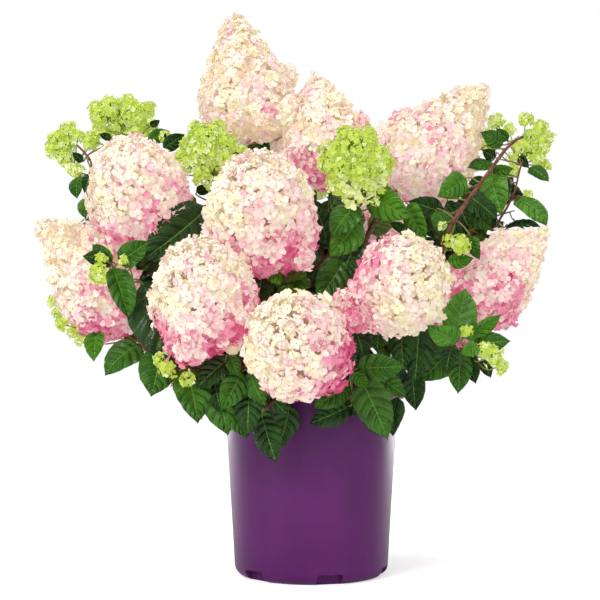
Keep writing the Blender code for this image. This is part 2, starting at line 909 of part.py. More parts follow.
def build_stems_and_leaves(ways, heads, room, parts, finish):
    """All leafy masses: every twig is placed first, so that no leaf meets one."""
    stems = {}
    for cane in CANES:
        lines = mass_lines(cane, ways[cane.name], heads)
        tubes = build_stems(cane, lines, parts)
        stems[cane.name] = (lines, tubes)
        for limb in tubes:
            room.add_limb(cane.name, tree_of(limb))
    for cane in CANES:
        lines, tubes = stems[cane.name]
        leaves = grow_leaves(cane, lines, room, random.Random(cane.seed), parts)
        fused(tubes[0], tubes[1:] + leaves, parts, finish)


def main():
    clear_scene()
    parts = collection("potted_hydrangea")
    cutters = collection("cutters")
    looks = finishes()
    heads = {head.name: head for head in HEADS}
    room = Room(HEADS)
    build_pot(parts, cutters, looks["pot"])
    build_mix(parts, looks["mix"])
    crown = build_crown(parts, looks["bark"])
    room.add_limb("root_crown", tree_of(crown))
    ways = {cane.name: cane_way(cane, heads) for cane in CANES}
    for cane in CANES:
        bough = build_bough(cane, ways[cane.name], parts, looks["bark"])
        room.add_limb(f"bough_{cane.name}", tree_of(bough))
    for head in HEADS:
        panicle = build_head(head, parts, looks[head.tone])
        room.add_limb(head.name, tree_of(panicle))
    build_stems_and_leaves(ways, heads, room, parts, looks["leaf"])
    bpy.context.view_layer.update()


main()
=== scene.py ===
"""A potted panicle hydrangea, dressed for its studio picture.

Canes and twigs grow by the same rule as the solids, carried on to finer twigs. They bear
leaves, open flower cones and young lime heads. Metres, +Z up, front towards -Y.
"""

import logging
import math
from collections.abc import Callable, Sequence
from dataclasses import dataclass, field
from enum import Enum
from functools import cached_property
from typing import Protocol

import bmesh
import bpy
import numpy as np
from bpy.types import ID, Material, Mesh, Node, NodeTree, Object
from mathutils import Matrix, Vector


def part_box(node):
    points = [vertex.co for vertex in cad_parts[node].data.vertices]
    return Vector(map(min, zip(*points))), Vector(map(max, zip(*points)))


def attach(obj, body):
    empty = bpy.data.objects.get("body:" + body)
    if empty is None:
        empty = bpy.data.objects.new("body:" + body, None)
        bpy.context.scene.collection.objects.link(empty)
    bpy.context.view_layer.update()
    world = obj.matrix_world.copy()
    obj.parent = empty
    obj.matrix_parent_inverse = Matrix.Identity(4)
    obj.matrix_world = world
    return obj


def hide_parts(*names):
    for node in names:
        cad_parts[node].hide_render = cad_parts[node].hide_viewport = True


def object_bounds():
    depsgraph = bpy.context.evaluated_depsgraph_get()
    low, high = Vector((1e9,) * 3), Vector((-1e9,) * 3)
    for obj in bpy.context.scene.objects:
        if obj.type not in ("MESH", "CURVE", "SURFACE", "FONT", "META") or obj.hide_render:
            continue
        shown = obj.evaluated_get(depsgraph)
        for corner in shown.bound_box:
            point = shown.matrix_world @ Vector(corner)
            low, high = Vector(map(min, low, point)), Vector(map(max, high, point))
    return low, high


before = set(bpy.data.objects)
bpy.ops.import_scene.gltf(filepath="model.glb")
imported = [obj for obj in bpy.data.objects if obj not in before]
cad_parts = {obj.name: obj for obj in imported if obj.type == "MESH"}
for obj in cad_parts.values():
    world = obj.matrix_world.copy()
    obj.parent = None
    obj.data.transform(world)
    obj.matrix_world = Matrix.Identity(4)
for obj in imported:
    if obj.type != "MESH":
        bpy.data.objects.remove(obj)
CAD_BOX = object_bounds()

log = logging.getLogger("hydrangea")
Array = np.ndarray
Chance = np.random.Generator
UP = np.array((0.0, 0.0, 1.0))
# The turn from each floret to the next that spreads them evenly round a head
GOLDEN = math.pi * (3.0 - math.sqrt(5.0))
# Clearance between a cane and the crown's stub, in metres
GAP = 0.0003
# Length of a smooth way's handles as a share of its reach
BEND = 0.38
# Keeps a direction's level part
LEVEL = np.array((1.0, 1.0, 0.0))
FORWARDS = np.array((0.0, 1e-4, 0.0))


# Vectors and smooth ways


def unit(vectors: Array) -> Array:
    """Vectors scaled to length one."""
    return vectors / np.maximum(np.linalg.norm(vectors, axis=-1, keepdims=True), 1e-9)


def square_to(vectors: Array, axes: Array) -> Array:
    """The part of each vector that is square to its axis, at length one."""
    return unit(vectors - axes * np.sum(vectors * axes, axis=-1, keepdims=True))


def aim(azimuth: float, elevation: float) -> Array:
    """Direction of an azimuth from the front and an elevation, both in degrees."""
    around = math.radians(azimuth)
    up = math.radians(elevation)
    return np.array((math.sin(around) * math.cos(up), -math.cos(around) * math.cos(up), math.sin(up)))


def frames_of(axes: Array) -> tuple[Array, Array]:
    """Two directions square to each axis and to each other.

    Args:
        axes: Unit vectors, one a row.

    Returns:
        The first and the second direction, one a row.
    """
    seed = np.where(np.abs(axes[:, 2:3]) < 0.9, UP, np.array((1.0, 0.0, 0.0)))
    first = unit(np.cross(seed, axes))
    return first, np.cross(axes, first)


def turned(vectors: Array, axis: Array, angle: float) -> Array:
    """Vectors turned about a unit axis by an angle in radians."""
    return (
        vectors * math.cos(angle)
        + np.cross(axis, vectors) * math.sin(angle)
        + axis * (np.dot(vectors, axis) * (1.0 - math.cos(angle)))
    )


def spokes_at(angles: Array, first: Array, second: Array) -> Array:
    """Directions at angles round an axis, from the first of two directions square to it to the second."""
    return np.cos(angles)[:, None] * first + np.sin(angles)[:, None] * second


def outward_of(place: Array) -> Array:
    """The level direction from the plant's middle to a place, or forwards in the middle itself."""
    return unit(place * LEVEL - FORWARDS)


Way = Callable[[float], Array]


def bezier(start: Array, start_aim: Array, end: Array, end_aim: Array) -> Way:
    """A smooth way between two places.

    Args:
        start: Where it starts.
        start_aim: Its direction there.
        end: Where it ends.
        end_aim: Its direction there.

    Returns:
        The place on the way for a share from 0 to 1.
    """
    reach = np.linalg.norm(end - start) * BEND
    handle_a = start + start_aim * reach
    handle_b = end - end_aim * reach

    def place(share: float) -> Array:
        """Place at a share of the way."""
        rest = 1.0 - share
        return (
            start * rest**3
            + handle_a * (3 * rest**2 * share)
            + handle_b * (3 * rest * share**2)
            + end * share**3
        )

    return place


class Line:
    """The middle of a limb: straight runs between places, measured from its foot."""

    def __init__(self, places: Array) -> None:
        """Measures the runs between the places."""
        self.places = places
        self.runs = np.linalg.norm(np.diff(places, axis=0), axis=1)
        self.length = float(self.runs.sum())

    def at(self, distance: float) -> tuple[Array, Array]:
        """Place and direction at a distance from the foot."""
        index = 0
        while distance > self.runs[index] and index < len(self.runs) - 1:
            distance -= self.runs[index]
            index += 1
        along = unit(self.places[index + 1] - self.places[index])
        return self.places[index] + along * distance, along

    @classmethod
    def along(cls, way: Way, count: int, first: float = 0.0) -> "Line":
        """A way in some runs, from a share of it to its end."""
        return cls(np.array([way(share) for share in np.linspace(first, 1.0, count + 1)]))


# Meshes from arrays


@dataclass(frozen=True)
class Faces:
    """How the points of a small shape join into faces."""

    corners: Array
    sizes: Array
    points: int

    @classmethod
    def of(cls, faces: Sequence[Sequence[int]], points: int) -> "Faces":
        """Faces given one by one, as corner numbers."""
        corners = np.array([corner for face in faces for corner in face])
        return cls(corners, np.array([len(face) for face in faces]), points)

    @classmethod
    def grid(cls, rows: int, columns: int, keep: Sequence[int] | None = None) -> "Faces":
        """A sheet of quads.

        Args:
            rows: Rows of points.
            columns: Points in a row.
            keep: The strips of quads wanted, counted along a row, or None for all.

        Returns:
            The sheet's faces.
        """
        strips = range(columns - 1) if keep is None else keep
        quads = [
            (r * columns + c, (r + 1) * columns + c, (r + 1) * columns + c + 1, r * columns + c + 1)
            for r in range(rows - 1)
            for c in strips
        ]
        return cls.of(quads, rows * columns)

    @classmethod
    def tube(cls, rings: int, sides: int, capped: bool = True) -> "Faces":
        """The skin of a tube, ring by ring, with its two caps if wanted."""
        faces: list[tuple[int, ...]] = []
        for ring in range(rings - 1):
            for side in range(sides):
                a = ring * sides + side
                b = ring * sides + (side + 1) % sides
                faces.append((a, b, b + sides, a + sides))
        if capped:
            faces.append(tuple(reversed(range(sides))))
            faces.append(tuple(range((rings - 1) * sides, rings * sides)))
        return cls.of(faces, rings * sides)


OCTAHEDRON = Faces.of(
    [(0, 2, 4), (2, 1, 4), (1, 3, 4), (3, 0, 4), (2, 0, 5), (1, 2, 5), (3, 1, 5), (0, 3, 5)], 6
)
PYRAMID = Faces.of([(0, 2, 4), (2, 1, 4), (1, 3, 4), (3, 0, 4)], 6)
BOX = Faces.of([(0, 1, 3, 2), (4, 6, 7, 5), (0, 4, 5, 1), (2, 3, 7, 6), (0, 2, 6, 4), (1, 5, 7, 3)], 8)


class Batch:
    """Many small shapes gathered into one mesh."""

    def __init__(self) -> None:
        """An empty batch."""
        self.points: list[Array] = []
        self.corners: list[Array] = []
        self.sizes: list[Array] = []
        self.spreads: list[Array] = []
        self.count = 0

    def add(self, points: Array, faces: Faces, spread: Array | None = None) -> None:
        """Adds one or more copies of a shape.

        Args:
            points: The points of every copy, copy by copy.
            faces: How one copy's points join.
            spread: Two flat coordinates for each point of one copy, if its finish needs them.
        """
        copies = points.size // (3 * faces.points)
        starts = self.count + np.arange(copies)[:, None] * faces.points
        self.points.append(points.reshape(-1, 3))
        self.corners.append((faces.corners[None, :] + starts).ravel())
        self.sizes.append(np.tile(faces.sizes, copies))
        if spread is not None:
            self.spreads.append(np.tile(spread, (copies, 1)))
        self.count += copies * faces.points

    def mesh(self, name: str) -> Mesh:
        """The gathered shapes as one smooth-shaded mesh."""
        points = np.concatenate(self.points)
        corners = np.concatenate(self.corners)
        sizes = np.concatenate(self.sizes)
        made = bpy.data.meshes.new(name)
        made.vertices.add(len(points))
        made.vertices.foreach_set("co", points.astype(np.float32).ravel())
        made.loops.add(len(corners))
        made.loops.foreach_set("vertex_index", corners.astype(np.int32))
        made.polygons.add(len(sizes))
        starts = np.concatenate(([0], np.cumsum(sizes)[:-1]))
        made.polygons.foreach_set("loop_start", starts.astype(np.int32))
        made.update(calc_edges=True)
        made.shade_smooth()
        if self.spreads:
            flat = made.uv_layers.new(name="spread")
            flat.data.foreach_set("uv", np.concatenate(self.spreads)[corners].astype(np.float32).ravel())
        return made


class Finish(Protocol):
    """A finish that a piece can take."""

    def material(self) -> Material:
        """Makes the finish's material."""


def add_object(name: str, data: ID) -> Object:
    """Puts a new object in the scene."""
    made = bpy.data.objects.new(name, data)
    bpy.context.scene.collection.objects.link(made)
    return made


def place_piece(name: str, shape: Batch | Mesh, finish: Finish, nodes: Sequence[str]) -> None:
    """Puts a piece of the plant or pot in the scene, riding on the body.

    Args:
        name: The piece's name.
        shape: Its mesh or the batch that becomes it, in the frame's places.
        finish: Its finish.
        nodes: The solids that it stands for.
    """
    mesh = shape.mesh(name) if isinstance(shape, Batch) else shape
    piece = add_object(name, mesh)
    mesh.materials.clear()
    mesh.materials.append(finish.material())
    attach(piece, "root")
    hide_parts(*nodes)
    log.info("%s: %d faces", name, len(mesh.polygons))


def ring_points(path: Array, radii: Array, sides: int, spin: float = 0.0) -> Array:
    """Points of a tube that follows a path.

    Args:
        path: Its middle, place by place.
        radii: Its radius at each place.
        sides: How many sides it has.
        spin: Angle of its first side, in radians.

    Returns:
        The points, ring by ring.
    """
    tangents = unit(np.gradient(path, axis=0))
    first = frames_of(tangents[:1])[0][0]
    angles = np.arange(sides) * math.tau / sides + spin
    rings = []
    for place, tangent, radius in zip(path, tangents, radii):
        first = square_to(first, tangent)
        second = np.cross(tangent, first)
        rings.append(place + radius * (np.outer(np.cos(angles), first) + np.outer(np.sin(angles), second)))
    return np.concatenate(rings)


def circle_points(reach: Array | float, angles: Array, height: Array | float) -> Array:
    """Points at a reach and a height round the upright axis, one for each angle."""
    return np.column_stack((reach * np.cos(angles), reach * np.sin(angles), height + 0.0 * angles))


def stick_points(starts: Array, ends: Array, thick: float, thin: float) -> Array:
    """Points of many straight three-sided stalks, six each."""
    first, second = frames_of(unit(ends - starts))
    angles = np.arange(3) * math.tau / 3
    spokes = (
        first[:, None, :] * np.cos(angles)[None, :, None]
        + second[:, None, :] * np.sin(angles)[None, :, None]
    )
    return np.concatenate((starts[:, None, :] + spokes * thick, ends[:, None, :] + spokes * thin), axis=1)


def bud_points(centres: Array, axes: Array, radii: Array) -> Array:
    """Points of many small buds, six each, a little longer than wide."""
    first, second = frames_of(axes)
    r = radii[:, None]
    return np.stack(
        (
            centres + first * r,
            centres - first * r,
            centres + second * r,
            centres - second * r,
            centres + axes * r * 1.3,
            centres - axes * r * 1.3,
        ),
        axis=1,
    )


STICK = Faces.tube(2, 3, capped=False)


# Finishes

COLOUR = "NodeSocketColor"
VALUE = "NodeSocketFloat"
# A Mix node's colour sockets go by number, because others have the same names
MIX_SHARE, MIX_FIRST, MIX_SECOND, MIX_RESULT = 0, 6, 7, 2

Paint = tuple[float, float, float, float]
Link = tuple[Node, str | int, Node, str | int]


def paint(code: str, share: float = 1.0) -> Paint:
    """A colour from its six-digit screen code, in linear light, dimmed to a share of it."""
    values = [int(code[k : k + 2], 16) / 255 for k in (1, 3, 5)]
    linear = [v / 12.92 if v <= 0.04045 else ((v + 0.055) / 1.055) ** 2.4 for v in values]
    return (*(v * share for v in linear), 1.0)


def add_node(tree: NodeTree, kind: str, settings: dict | None = None, **inputs) -> Node:
    """Adds a shader node to a tree.

    Args:
        tree: The tree.
        kind: The node's type name, without the ShaderNode before it.
        settings: Its own properties, by name.
        **inputs: Values of its sockets, with _ for a space in the name.

    Returns:
        The node.
    """
    node = tree.nodes.new(f"ShaderNode{kind}")
    for name, value in (settings or {}).items():
        setattr(node, name, value)
    for name, value in inputs.items():
        node.inputs[name.replace("_", " ")].default_value = value
    return node


def add_mix(tree: NodeTree, second: Paint | None = None) -> Node:
    """Adds a mix of two colours, with its second colour if that is plain."""
    node = add_node(tree, "Mix", {"data_type": "RGBA"})
    if second:
        node.inputs[MIX_SECOND].default_value = second
    return node


def add_math(tree: NodeTree, operation: str, second: float | None = None) -> Node:
    """Adds a sum of single values, with its second value if that is plain."""
    node = add_node(tree, "Math", {"operation": operation})
    if second is not None:
        node.inputs[1].default_value = second
    return node


def join(tree: NodeTree, *links: Link) -> None:
    """Joins nodes of a tree, each link given as a node, its output, the next node and its input."""
    for source, outlet, target, inlet in links:
        tree.links.new(source.outputs[outlet], target.inputs[inlet])


def new_group(name: str, inputs: dict[str, str], outputs: dict[str, str]) -> tuple[NodeTree, Node, Node]:
    """A shader node group with named sockets and nothing between them yet.

    Args:
        name: The group's name.
        inputs: Socket type by name.
        outputs: Socket type by name.

    Returns:
        The group's tree, its input node and its output node.
    """
    group = bpy.data.node_groups.new(name, "ShaderNodeTree")
    for way, sockets in (("INPUT", inputs), ("OUTPUT", outputs)):
        for label, kind in sockets.items():
            group.interface.new_socket(name=label, in_out=way, socket_type=kind)
    return group, group.nodes.new("NodeGroupInput"), group.nodes.new("NodeGroupOutput")


class Effects:
    """The shader node groups that several finishes share, each built once."""

    @cached_property
    def mottle(self) -> NodeTree:
        """Soft blotches between two colours, with a fine height of their own."""
        group, inlet, outlet = new_group(
            "mottle",
            {"Light": COLOUR, "Dark": COLOUR, "Blotch Scale": VALUE, "Fine Scale": VALUE},
            {"Colour": COLOUR, "Mask": VALUE, "Height": VALUE},
        )
        place = add_node(group, "TexCoord")
        blotch = add_node(group, "TexNoise", Detail=3.0, Roughness=0.6)
        fine = add_node(group, "TexNoise", Detail=2.0, Roughness=0.5)
        spread = add_node(group, "MapRange", From_Min=0.36, From_Max=0.64)
        mix = add_mix(group)
        join(
            group,
            (place, "Object", blotch, "Vector"),
            (place, "Object", fine, "Vector"),
            (inlet, "Blotch Scale", blotch, "Scale"),
            (inlet, "Fine Scale", fine, "Scale"),
            (blotch, "Fac", spread, "Value"),
            (spread, "Result", mix, MIX_SHARE),
            (inlet, "Dark", mix, MIX_FIRST),
            (inlet, "Light", mix, MIX_SECOND),
            (mix, MIX_RESULT, outlet, "Colour"),
            (spread, "Result", outlet, "Mask"),
            (fine, "Fac", outlet, "Height"),
        )
        return group

    @cached_property
    def cells(self) -> NodeTree:
        """A net of fine lines: 0 on a line and 1 between them."""
        group, inlet, outlet = new_group("cells", {"Scale": VALUE, "Width": VALUE}, {"Net": VALUE})
        place = add_node(group, "TexCoord")
        net = add_node(group, "TexVoronoi", {"feature": "DISTANCE_TO_EDGE"})
        band = add_node(group, "MapRange", {"interpolation_type": "SMOOTHSTEP"})
        join(
            group,
            (place, "Object", net, "Vector"),
            (inlet, "Scale", net, "Scale"),
            (net, "Distance", band, "Value"),
            (inlet, "Width", band, "From Max"),
            (band, "Result", outlet, "Net"),
        )
        return group

    @cached_property
    def veins(self) -> NodeTree:
        """Side veins laid over a leaf's flat coordinates, and the pillows between them."""
        group, inlet, outlet = new_group(
            "side_veins", {"Count": VALUE, "Width": VALUE}, {"Line": VALUE, "Pillow": VALUE}
        )
        place = add_node(group, "TexCoord")
        parts = add_node(group, "SeparateXYZ")
        count = add_math(group, "MULTIPLY")
        tent = add_math(group, "PINGPONG", 0.5)
        line = add_node(group, "MapRange", {"interpolation_type": "SMOOTHSTEP"}, To_Min=1.0, To_Max=0.0)
        pillow = add_node(group, "MapRange", {"interpolation_type": "SMOOTHSTEP"}, From_Max=0.5)
        join(
            group,
            (place, "UV", parts, "Vector"),
            (parts, "X", count, 0),
            (inlet, "Count", count, 1),
            (count, "Value", tent, 0),
            (tent, "Value", line, "Value"),
            (inlet, "Width", line, "From Max"),
            (tent, "Value", pillow, "Value"),
            (line, "Result", outlet, "Line"),
            (pillow, "Result", outlet, "Pillow"),
        )
        return group

    def place(self, tree: NodeTree, group: NodeTree, **inputs) -> Node:
        """Places a group in a material's tree with its own values."""
        return add_node(tree, "Group", {"node_tree": group}, **inputs)

    def mottled(self, tree: NodeTree, light: Paint, dark: Paint, blotch: float, fine: float) -> Node:
        """Places the mottle with its two colours and the scales of its blotches and its fine height."""
        return self.place(tree, self.mottle, Light=light, Dark=dark, Blotch_Scale=blotch, Fine_Scale=fine)


EFFECTS = Effects()


def blank_material(name: str, **values: float) -> tuple[Material, NodeTree, Node]:
    """A new material and its shader.

    Args:
        name: The material's name.
        **values: Plain values of the shader's sockets, with _ for a space in the name.

    Returns:
        The material, its tree and its Principled shader.
    """
    made = bpy.data.materials.new(name)
    made.use_nodes = True
    shader = made.node_tree.nodes["Principled BSDF"]
    for label, value in values.items():
        shader.inputs[label.replace("_", " ")].default_value = value
    return made, made.node_tree, shader


def bump_into(shader: Node, source: Node, outlet: str, depth: float) -> None:
    """Feeds a node's height through a Bump node into a shader's normal, at a depth in metres."""
    tree = shader.id_data
    bump = add_node(tree, "Bump", Strength=1.0, Distance=depth)
    join(tree, (source, outlet, bump, "Height"), (bump, "Normal", shader, "Normal"))


@dataclass(frozen=True)
class PetalFinish:
    """Thin matte petals with soft blotches, and a painted glow: they emit a faint share of their own colour,
    which lifts their shade and stands in for the light that comes through.
    """

    name: str
    light: str
    dark: str
    glow: float = 0.35
    depth: float = 0.0004

    def material(self) -> Material:
        """The petals' material."""
        # Painted glow: the glow's share of the petal colour is emitted instead of lit, so the petals stay
        # bright in their shade.
        glow = self.glow / (1.0 - self.glow)
        made, tree, shader = blank_material(
            self.name, Roughness=0.62, Specular_IOR_Level=0.3, Emission_Strength=glow
        )
        light, dark = (paint(code, 1.0 - self.glow) for code in (self.light, self.dark))
        spots = EFFECTS.mottled(tree, light, dark, 160.0, 900.0)
        join(tree, (spots, "Colour", shader, "Base Color"), (spots, "Colour", shader, "Emission Color"))
        bump_into(shader, spots, "Height", self.depth)
        return made


@dataclass(frozen=True)
class LeafFinish:
    """A waxy leaf with side veins and a fine net between them, paler underneath."""

    name: str
    light: str
    dark: str
    under: str
    vein: str
    roughness: float = 0.21
    dulling: float = 0.14
    side_veins: float = 7.0
    vein_strength: float = 0.6
    swell: float = 6.0
    depth: float = 0.0004

    def material(self) -> Material:
        """The leaves' material."""
        made, tree, shader = blank_material(self.name, Specular_IOR_Level=0.38)
        spots = EFFECTS.mottled(tree, paint(self.light), paint(self.dark), 55.0, 700.0)
        net = EFFECTS.place(tree, EFFECTS.cells, Scale=330.0, Width=0.12)
        veins = EFFECTS.place(tree, EFFECTS.veins, Count=self.side_veins, Width=0.09)
        veined = add_mix(tree, paint(self.vein))
        soft = add_math(tree, "MULTIPLY", self.vein_strength)
        swell = add_math(tree, "MULTIPLY_ADD", self.swell)
        back = add_node(tree, "NewGeometry")
        sides = add_mix(tree, paint(self.under))
        gloss = add_node(tree, "MapRange", To_Min=self.roughness, To_Max=self.roughness + self.dulling)
        join(
            tree,
            (back, "Backfacing", sides, MIX_SHARE),
            (veins, "Line", soft, 0),
            (soft, "Value", veined, MIX_SHARE),
            (spots, "Colour", veined, MIX_FIRST),
            (veined, MIX_RESULT, sides, MIX_FIRST),
            (sides, MIX_RESULT, shader, "Base Color"),
            (spots, "Mask", gloss, "Value"),
            (gloss, "Result", shader, "Roughness"),
            (veins, "Pillow", swell, 0),
            (net, "Net", swell, 2),
        )
        bump_into(shader, swell, "Value", self.depth)
        return made


@dataclass(frozen=True)
class StemFinish:
    """Bark or green stem skin with pale pores."""

    name: str
    light: str
    dark: str
    pore: str
    roughness: float = 0.6
    depth: float = 0.0006

    def material(self) -> Material:
        """The stems' material."""
        made, tree, shader = blank_material(self.name, Roughness=self.roughness, Specular_IOR_Level=0.35)
        skin = EFFECTS.mottled(tree, paint(self.light), paint(self.dark), 90.0, 420.0)
        pores = add_node(tree, "TexVoronoi", {"feature": "F1"}, Scale=300.0)
        place = add_node(tree, "TexCoord")
        spots = add_node(tree, "MapRange", From_Min=0.10, From_Max=0.22, To_Min=1.0, To_Max=0.0)
        mix = add_mix(tree, paint(self.pore))
        join(
            tree,
            (place, "Object", pores, "Vector"),
            (pores, "Distance", spots, "Value"),
            (spots, "Result", mix, MIX_SHARE),
            (skin, "Colour", mix, MIX_FIRST),
            (mix, MIX_RESULT, shader, "Base Color"),
        )
        bump_into(shader, skin, "Height", self.depth)
        return made


@dataclass(frozen=True)
class PotFinish:
    """Blow-moulded plastic: satin, with faint turned rings and rubbed patches."""

    name: str = "purple_plastic"
    light: str = "#5A1560"
    dark: str = "#4F1056"
    ring_scale: float = 110.0
    ring_share: float = 0.25
    depth: float = 0.00008

    def material(self) -> Material:
        """The pot's material."""
        made, tree, shader = blank_material(self.name, Specular_IOR_Level=0.28)
        rub = EFFECTS.mottled(tree, paint(self.light), paint(self.dark), 14.0, 900.0)
        place = add_node(tree, "TexCoord")
        bands = {"wave_type": "BANDS", "bands_direction": "Z"}
        rings = add_node(tree, "TexWave", bands, Scale=self.ring_scale, Distortion=0.4, Detail=1.0)
        gloss = add_node(tree, "MapRange", To_Min=0.34, To_Max=0.46)
        blend = add_math(tree, "MULTIPLY_ADD", self.ring_share)
        join(
            tree,
            (place, "Object", rings, "Vector"),
            (rub, "Colour", shader, "Base Color"),
            (rub, "Mask", gloss, "Value"),
            (gloss, "Result", shader, "Roughness"),
            (rings, "Fac", blend, 0),
            (rub, "Height", blend, 2),
        )
        bump_into(shader, blend, "Value", self.depth)
        return made


@dataclass(frozen=True)
class ChipFinish:
    """Rough crumbled bark."""

    name: str
    light: str
    dark: str
    depth: float = 0.0012

    def material(self) -> Material:
        """The potting mix's material."""
        made, tree, shader = blank_material(self.name, Roughness=0.92, Specular_IOR_Level=0.2)
        grain = EFFECTS.mottled(tree, paint(self.light), paint(self.dark), 120.0, 600.0)
        join(tree, (grain, "Colour", shader, "Base Color"))
        bump_into(shader, grain, "Height", self.depth)
        return made


class Tone(Enum):
    """The colours of sepals and buds. Each is a material and a piece of its own."""

    LEMON = PetalFinish("petal_lemon", "#F9F1D2", "#F2E5BC")
    IVORY = PetalFinish("petal_ivory", "#FBF2E1", "#F6E6D2")
    # TAN is partly the florets' own tan and partly painted shade: the inner florets in the creases and the
    # tufts at the top head's foot take it.
    TAN = PetalFinish("petal_tan", "#F2DFC0", "#E6CAA2")
    CREAM = PetalFinish("petal_cream", "#FAE6DC", "#F5D8CE")
    BLUSH = PetalFinish("petal_blush", "#F8D2D2", "#F0BCC2")
    PINK = PetalFinish("petal_pink", "#EF9DB4", "#E3829F")
    ROSE = PetalFinish("petal_rose", "#E16C94", "#CF4E7B")
    LIME = PetalFinish("petal_lime", "#CBDD60", "#B7CE48")
    PALE_LIME = PetalFinish("petal_pale_lime", "#E6EFAE", "#D8E48E")
    OCHRE = PetalFinish("bud_ochre", "#C9A062", "#B4864A")

    @property
    def slot(self) -> str:
        """The record's material slot for this tone."""
        if self in (Tone.LIME, Tone.PALE_LIME):
            return "young_flower"
        return "pink_flower" if self in (Tone.BLUSH, Tone.PINK, Tone.ROSE) else "cream_flower"


class Green(Enum):
    """The colours of leaves. Each is a material and a piece of its own."""

    # DEEP is partly a darker leaf green and partly painted shade: it is darkened for the leaves that lie in
    # shade, and the seen leaves in shade take it.
    DEEP = LeafFinish("leaf_deep", "#20480A", "#133406", "#43622F", "#3A6826")
    MID = LeafFinish("leaf_mid", "#3B7010", "#27540A", "#5E8044", "#568A2E")
    FRESH = LeafFinish("leaf_fresh", "#4F8C12", "#38700C", "#72944A", "#74A638")


# The tones of an open floret from pale to deep, and the pinkness at which each gives way
OPEN_TONES = (Tone.LEMON, Tone.IVORY, Tone.CREAM, Tone.BLUSH, Tone.PINK, Tone.ROSE)
OPEN_LIMITS = (-0.04, 0.20, 0.40, 0.60, 0.86)
# How many of them are pale enough to turn tan
PALE_TONES = 3


# The photograph's view


@dataclass(frozen=True)
class View:
    """Where the camera stands, and which place a point of the picture shows."""

    place: tuple[float, float, float] = (-0.016, -1.59, 0.2635)
    rise: float = math.radians(4.5)
    focal: float = 1102.0
    size: float = 600.0
    sensor: float = 36.0

    def at(self, x: float, y: float, depth: float) -> Array:
        """The place that a picture point shows.

        Args:
            x: Pixels from the picture's left side.
            y: Pixels from its top.
            depth: The place's own Y, in metres.

        Returns:
            The place.
        """
        right = (x - self.size / 2) / self.focal
        up = (self.size / 2 - y) / self.focal
        ray = np.array(
            (
                right,
                math.cos(self.rise) - math.sin(self.rise) * up,
                math.sin(self.rise) + math.cos(self.rise) * up,
            )
        )
        return np.array(self.place) + ray * ((depth - self.place[1]) / ray[1])

    def pixel(self, places: Array) -> Array:
        """The picture points that show some places, one a row."""
        offset = places - np.array(self.place)
        ahead = offset[..., 1] * math.cos(self.rise) + offset[..., 2] * math.sin(self.rise)
        up = offset[..., 2] * math.cos(self.rise) - offset[..., 1] * math.sin(self.rise)
        x = self.size / 2 + self.focal * offset[..., 0] / ahead
        y = self.size / 2 - self.focal * up / ahead
        return np.stack((x, y), axis=-1)

    def metres(self, pixels: float, depth: float) -> float:
        """The length that a count of pixels stands for at a depth."""
        return pixels * (depth - self.place[1]) / self.focal

    def camera(self) -> None:
        """Makes the scene's camera."""
        data = bpy.data.cameras.new("studio_camera")
        data.sensor_width = self.sensor
        data.lens = self.focal * self.sensor / self.size
        made = add_object("studio_camera", data)
        made.location = self.place
        made.rotation_euler = (math.pi / 2 + self.rise, 0.0, 0.0)
        bpy.context.scene.camera = made


VIEW = View()


# Flower heads


@dataclass(frozen=True)
class Blush:
    """How pink a flower cone is, from 0 for ivory to 1 for rose, and where."""

    all_over: float
    low: float
    side: float
    towards: tuple[float, float, float] = (0.0, -0.3, -1.0)
    tan: float = 0.0


# Outlines of a pointed cone, a rounded cone and a young head, as shares of length and of half-width
PROFILE = (
    (0.00, 0.36), (0.06, 0.70), (0.15, 0.92), (0.30, 1.00), (0.50, 0.83), (0.70, 0.56), (0.85, 0.35),
    (0.95, 0.20), (1.00, 0.04),
)
DOME_PROFILE = (
    (0.00, 0.38), (0.06, 0.70), (0.15, 0.92), (0.30, 1.00), (0.50, 0.97), (0.70, 0.82), (0.85, 0.60),
    (0.95, 0.35), (1.00, 0.10),
)
YOUNG_PROFILE = (
    (0.00, 0.30), (0.10, 0.62), (0.35, 0.96), (0.55, 1.00), (0.80, 0.80), (0.93, 0.50), (1.00, 0.05),
)


@dataclass(frozen=True)
class Head:
    """A flower head's place and size. Azimuth runs from the front towards +X, in degrees."""

    name: str
    centre: tuple[float, float, float]
    azimuth: float
    elevation: float
    length: float
    width: float
    blush: Blush | None = None
    dome: bool = False
    stalk: float = 0.020

    @cached_property
    def axis(self) -> Array:
        """Direction from the head's base to its tip."""
        return aim(self.azimuth, self.elevation)

    @cached_property
    def base(self) -> Array:
        """Middle of the head's foot."""
        return np.array(self.centre) - self.axis * (self.length / 2)

    @cached_property
    def foot(self) -> Array:
        """Where the head's own stalk starts."""
        return self.base - self.axis * self.stalk

    def radius(self, share: Array) -> Array:
        """Half-width of the head at a share of its length."""
        table = np.array((DOME_PROFILE if self.dome else PROFILE) if self.blush else YOUNG_PROFILE)
        return np.interp(share, table[:, 0], table[:, 1]) * self.width / 2

    def holds(self, places: Array, margin: float) -> Array:
        """Which places are in the head or within a margin of it."""
        offset = places - self.base
        along = offset @ self.axis
        beside = np.linalg.norm(offset - along[..., None] * self.axis, axis=-1)
        share = np.clip(along / self.length, 0.0, 1.0)
        level = (along > -margin) & (along < self.length + margin)
        return level & (beside < self.radius(share) + margin)


# Sides that the cones are pinker on
RIGHT_LOW = (0.8, -0.2, -0.8)
LEFT_LOW = (-0.8, -0.2, -0.8)
SIDES_LOW = (0.5, 0.0, -1.0)
RIGHT_SIDE = (1.0, 0.1, -0.45)
LEFT_SIDE = (-1.0, 0.0, 0.35)

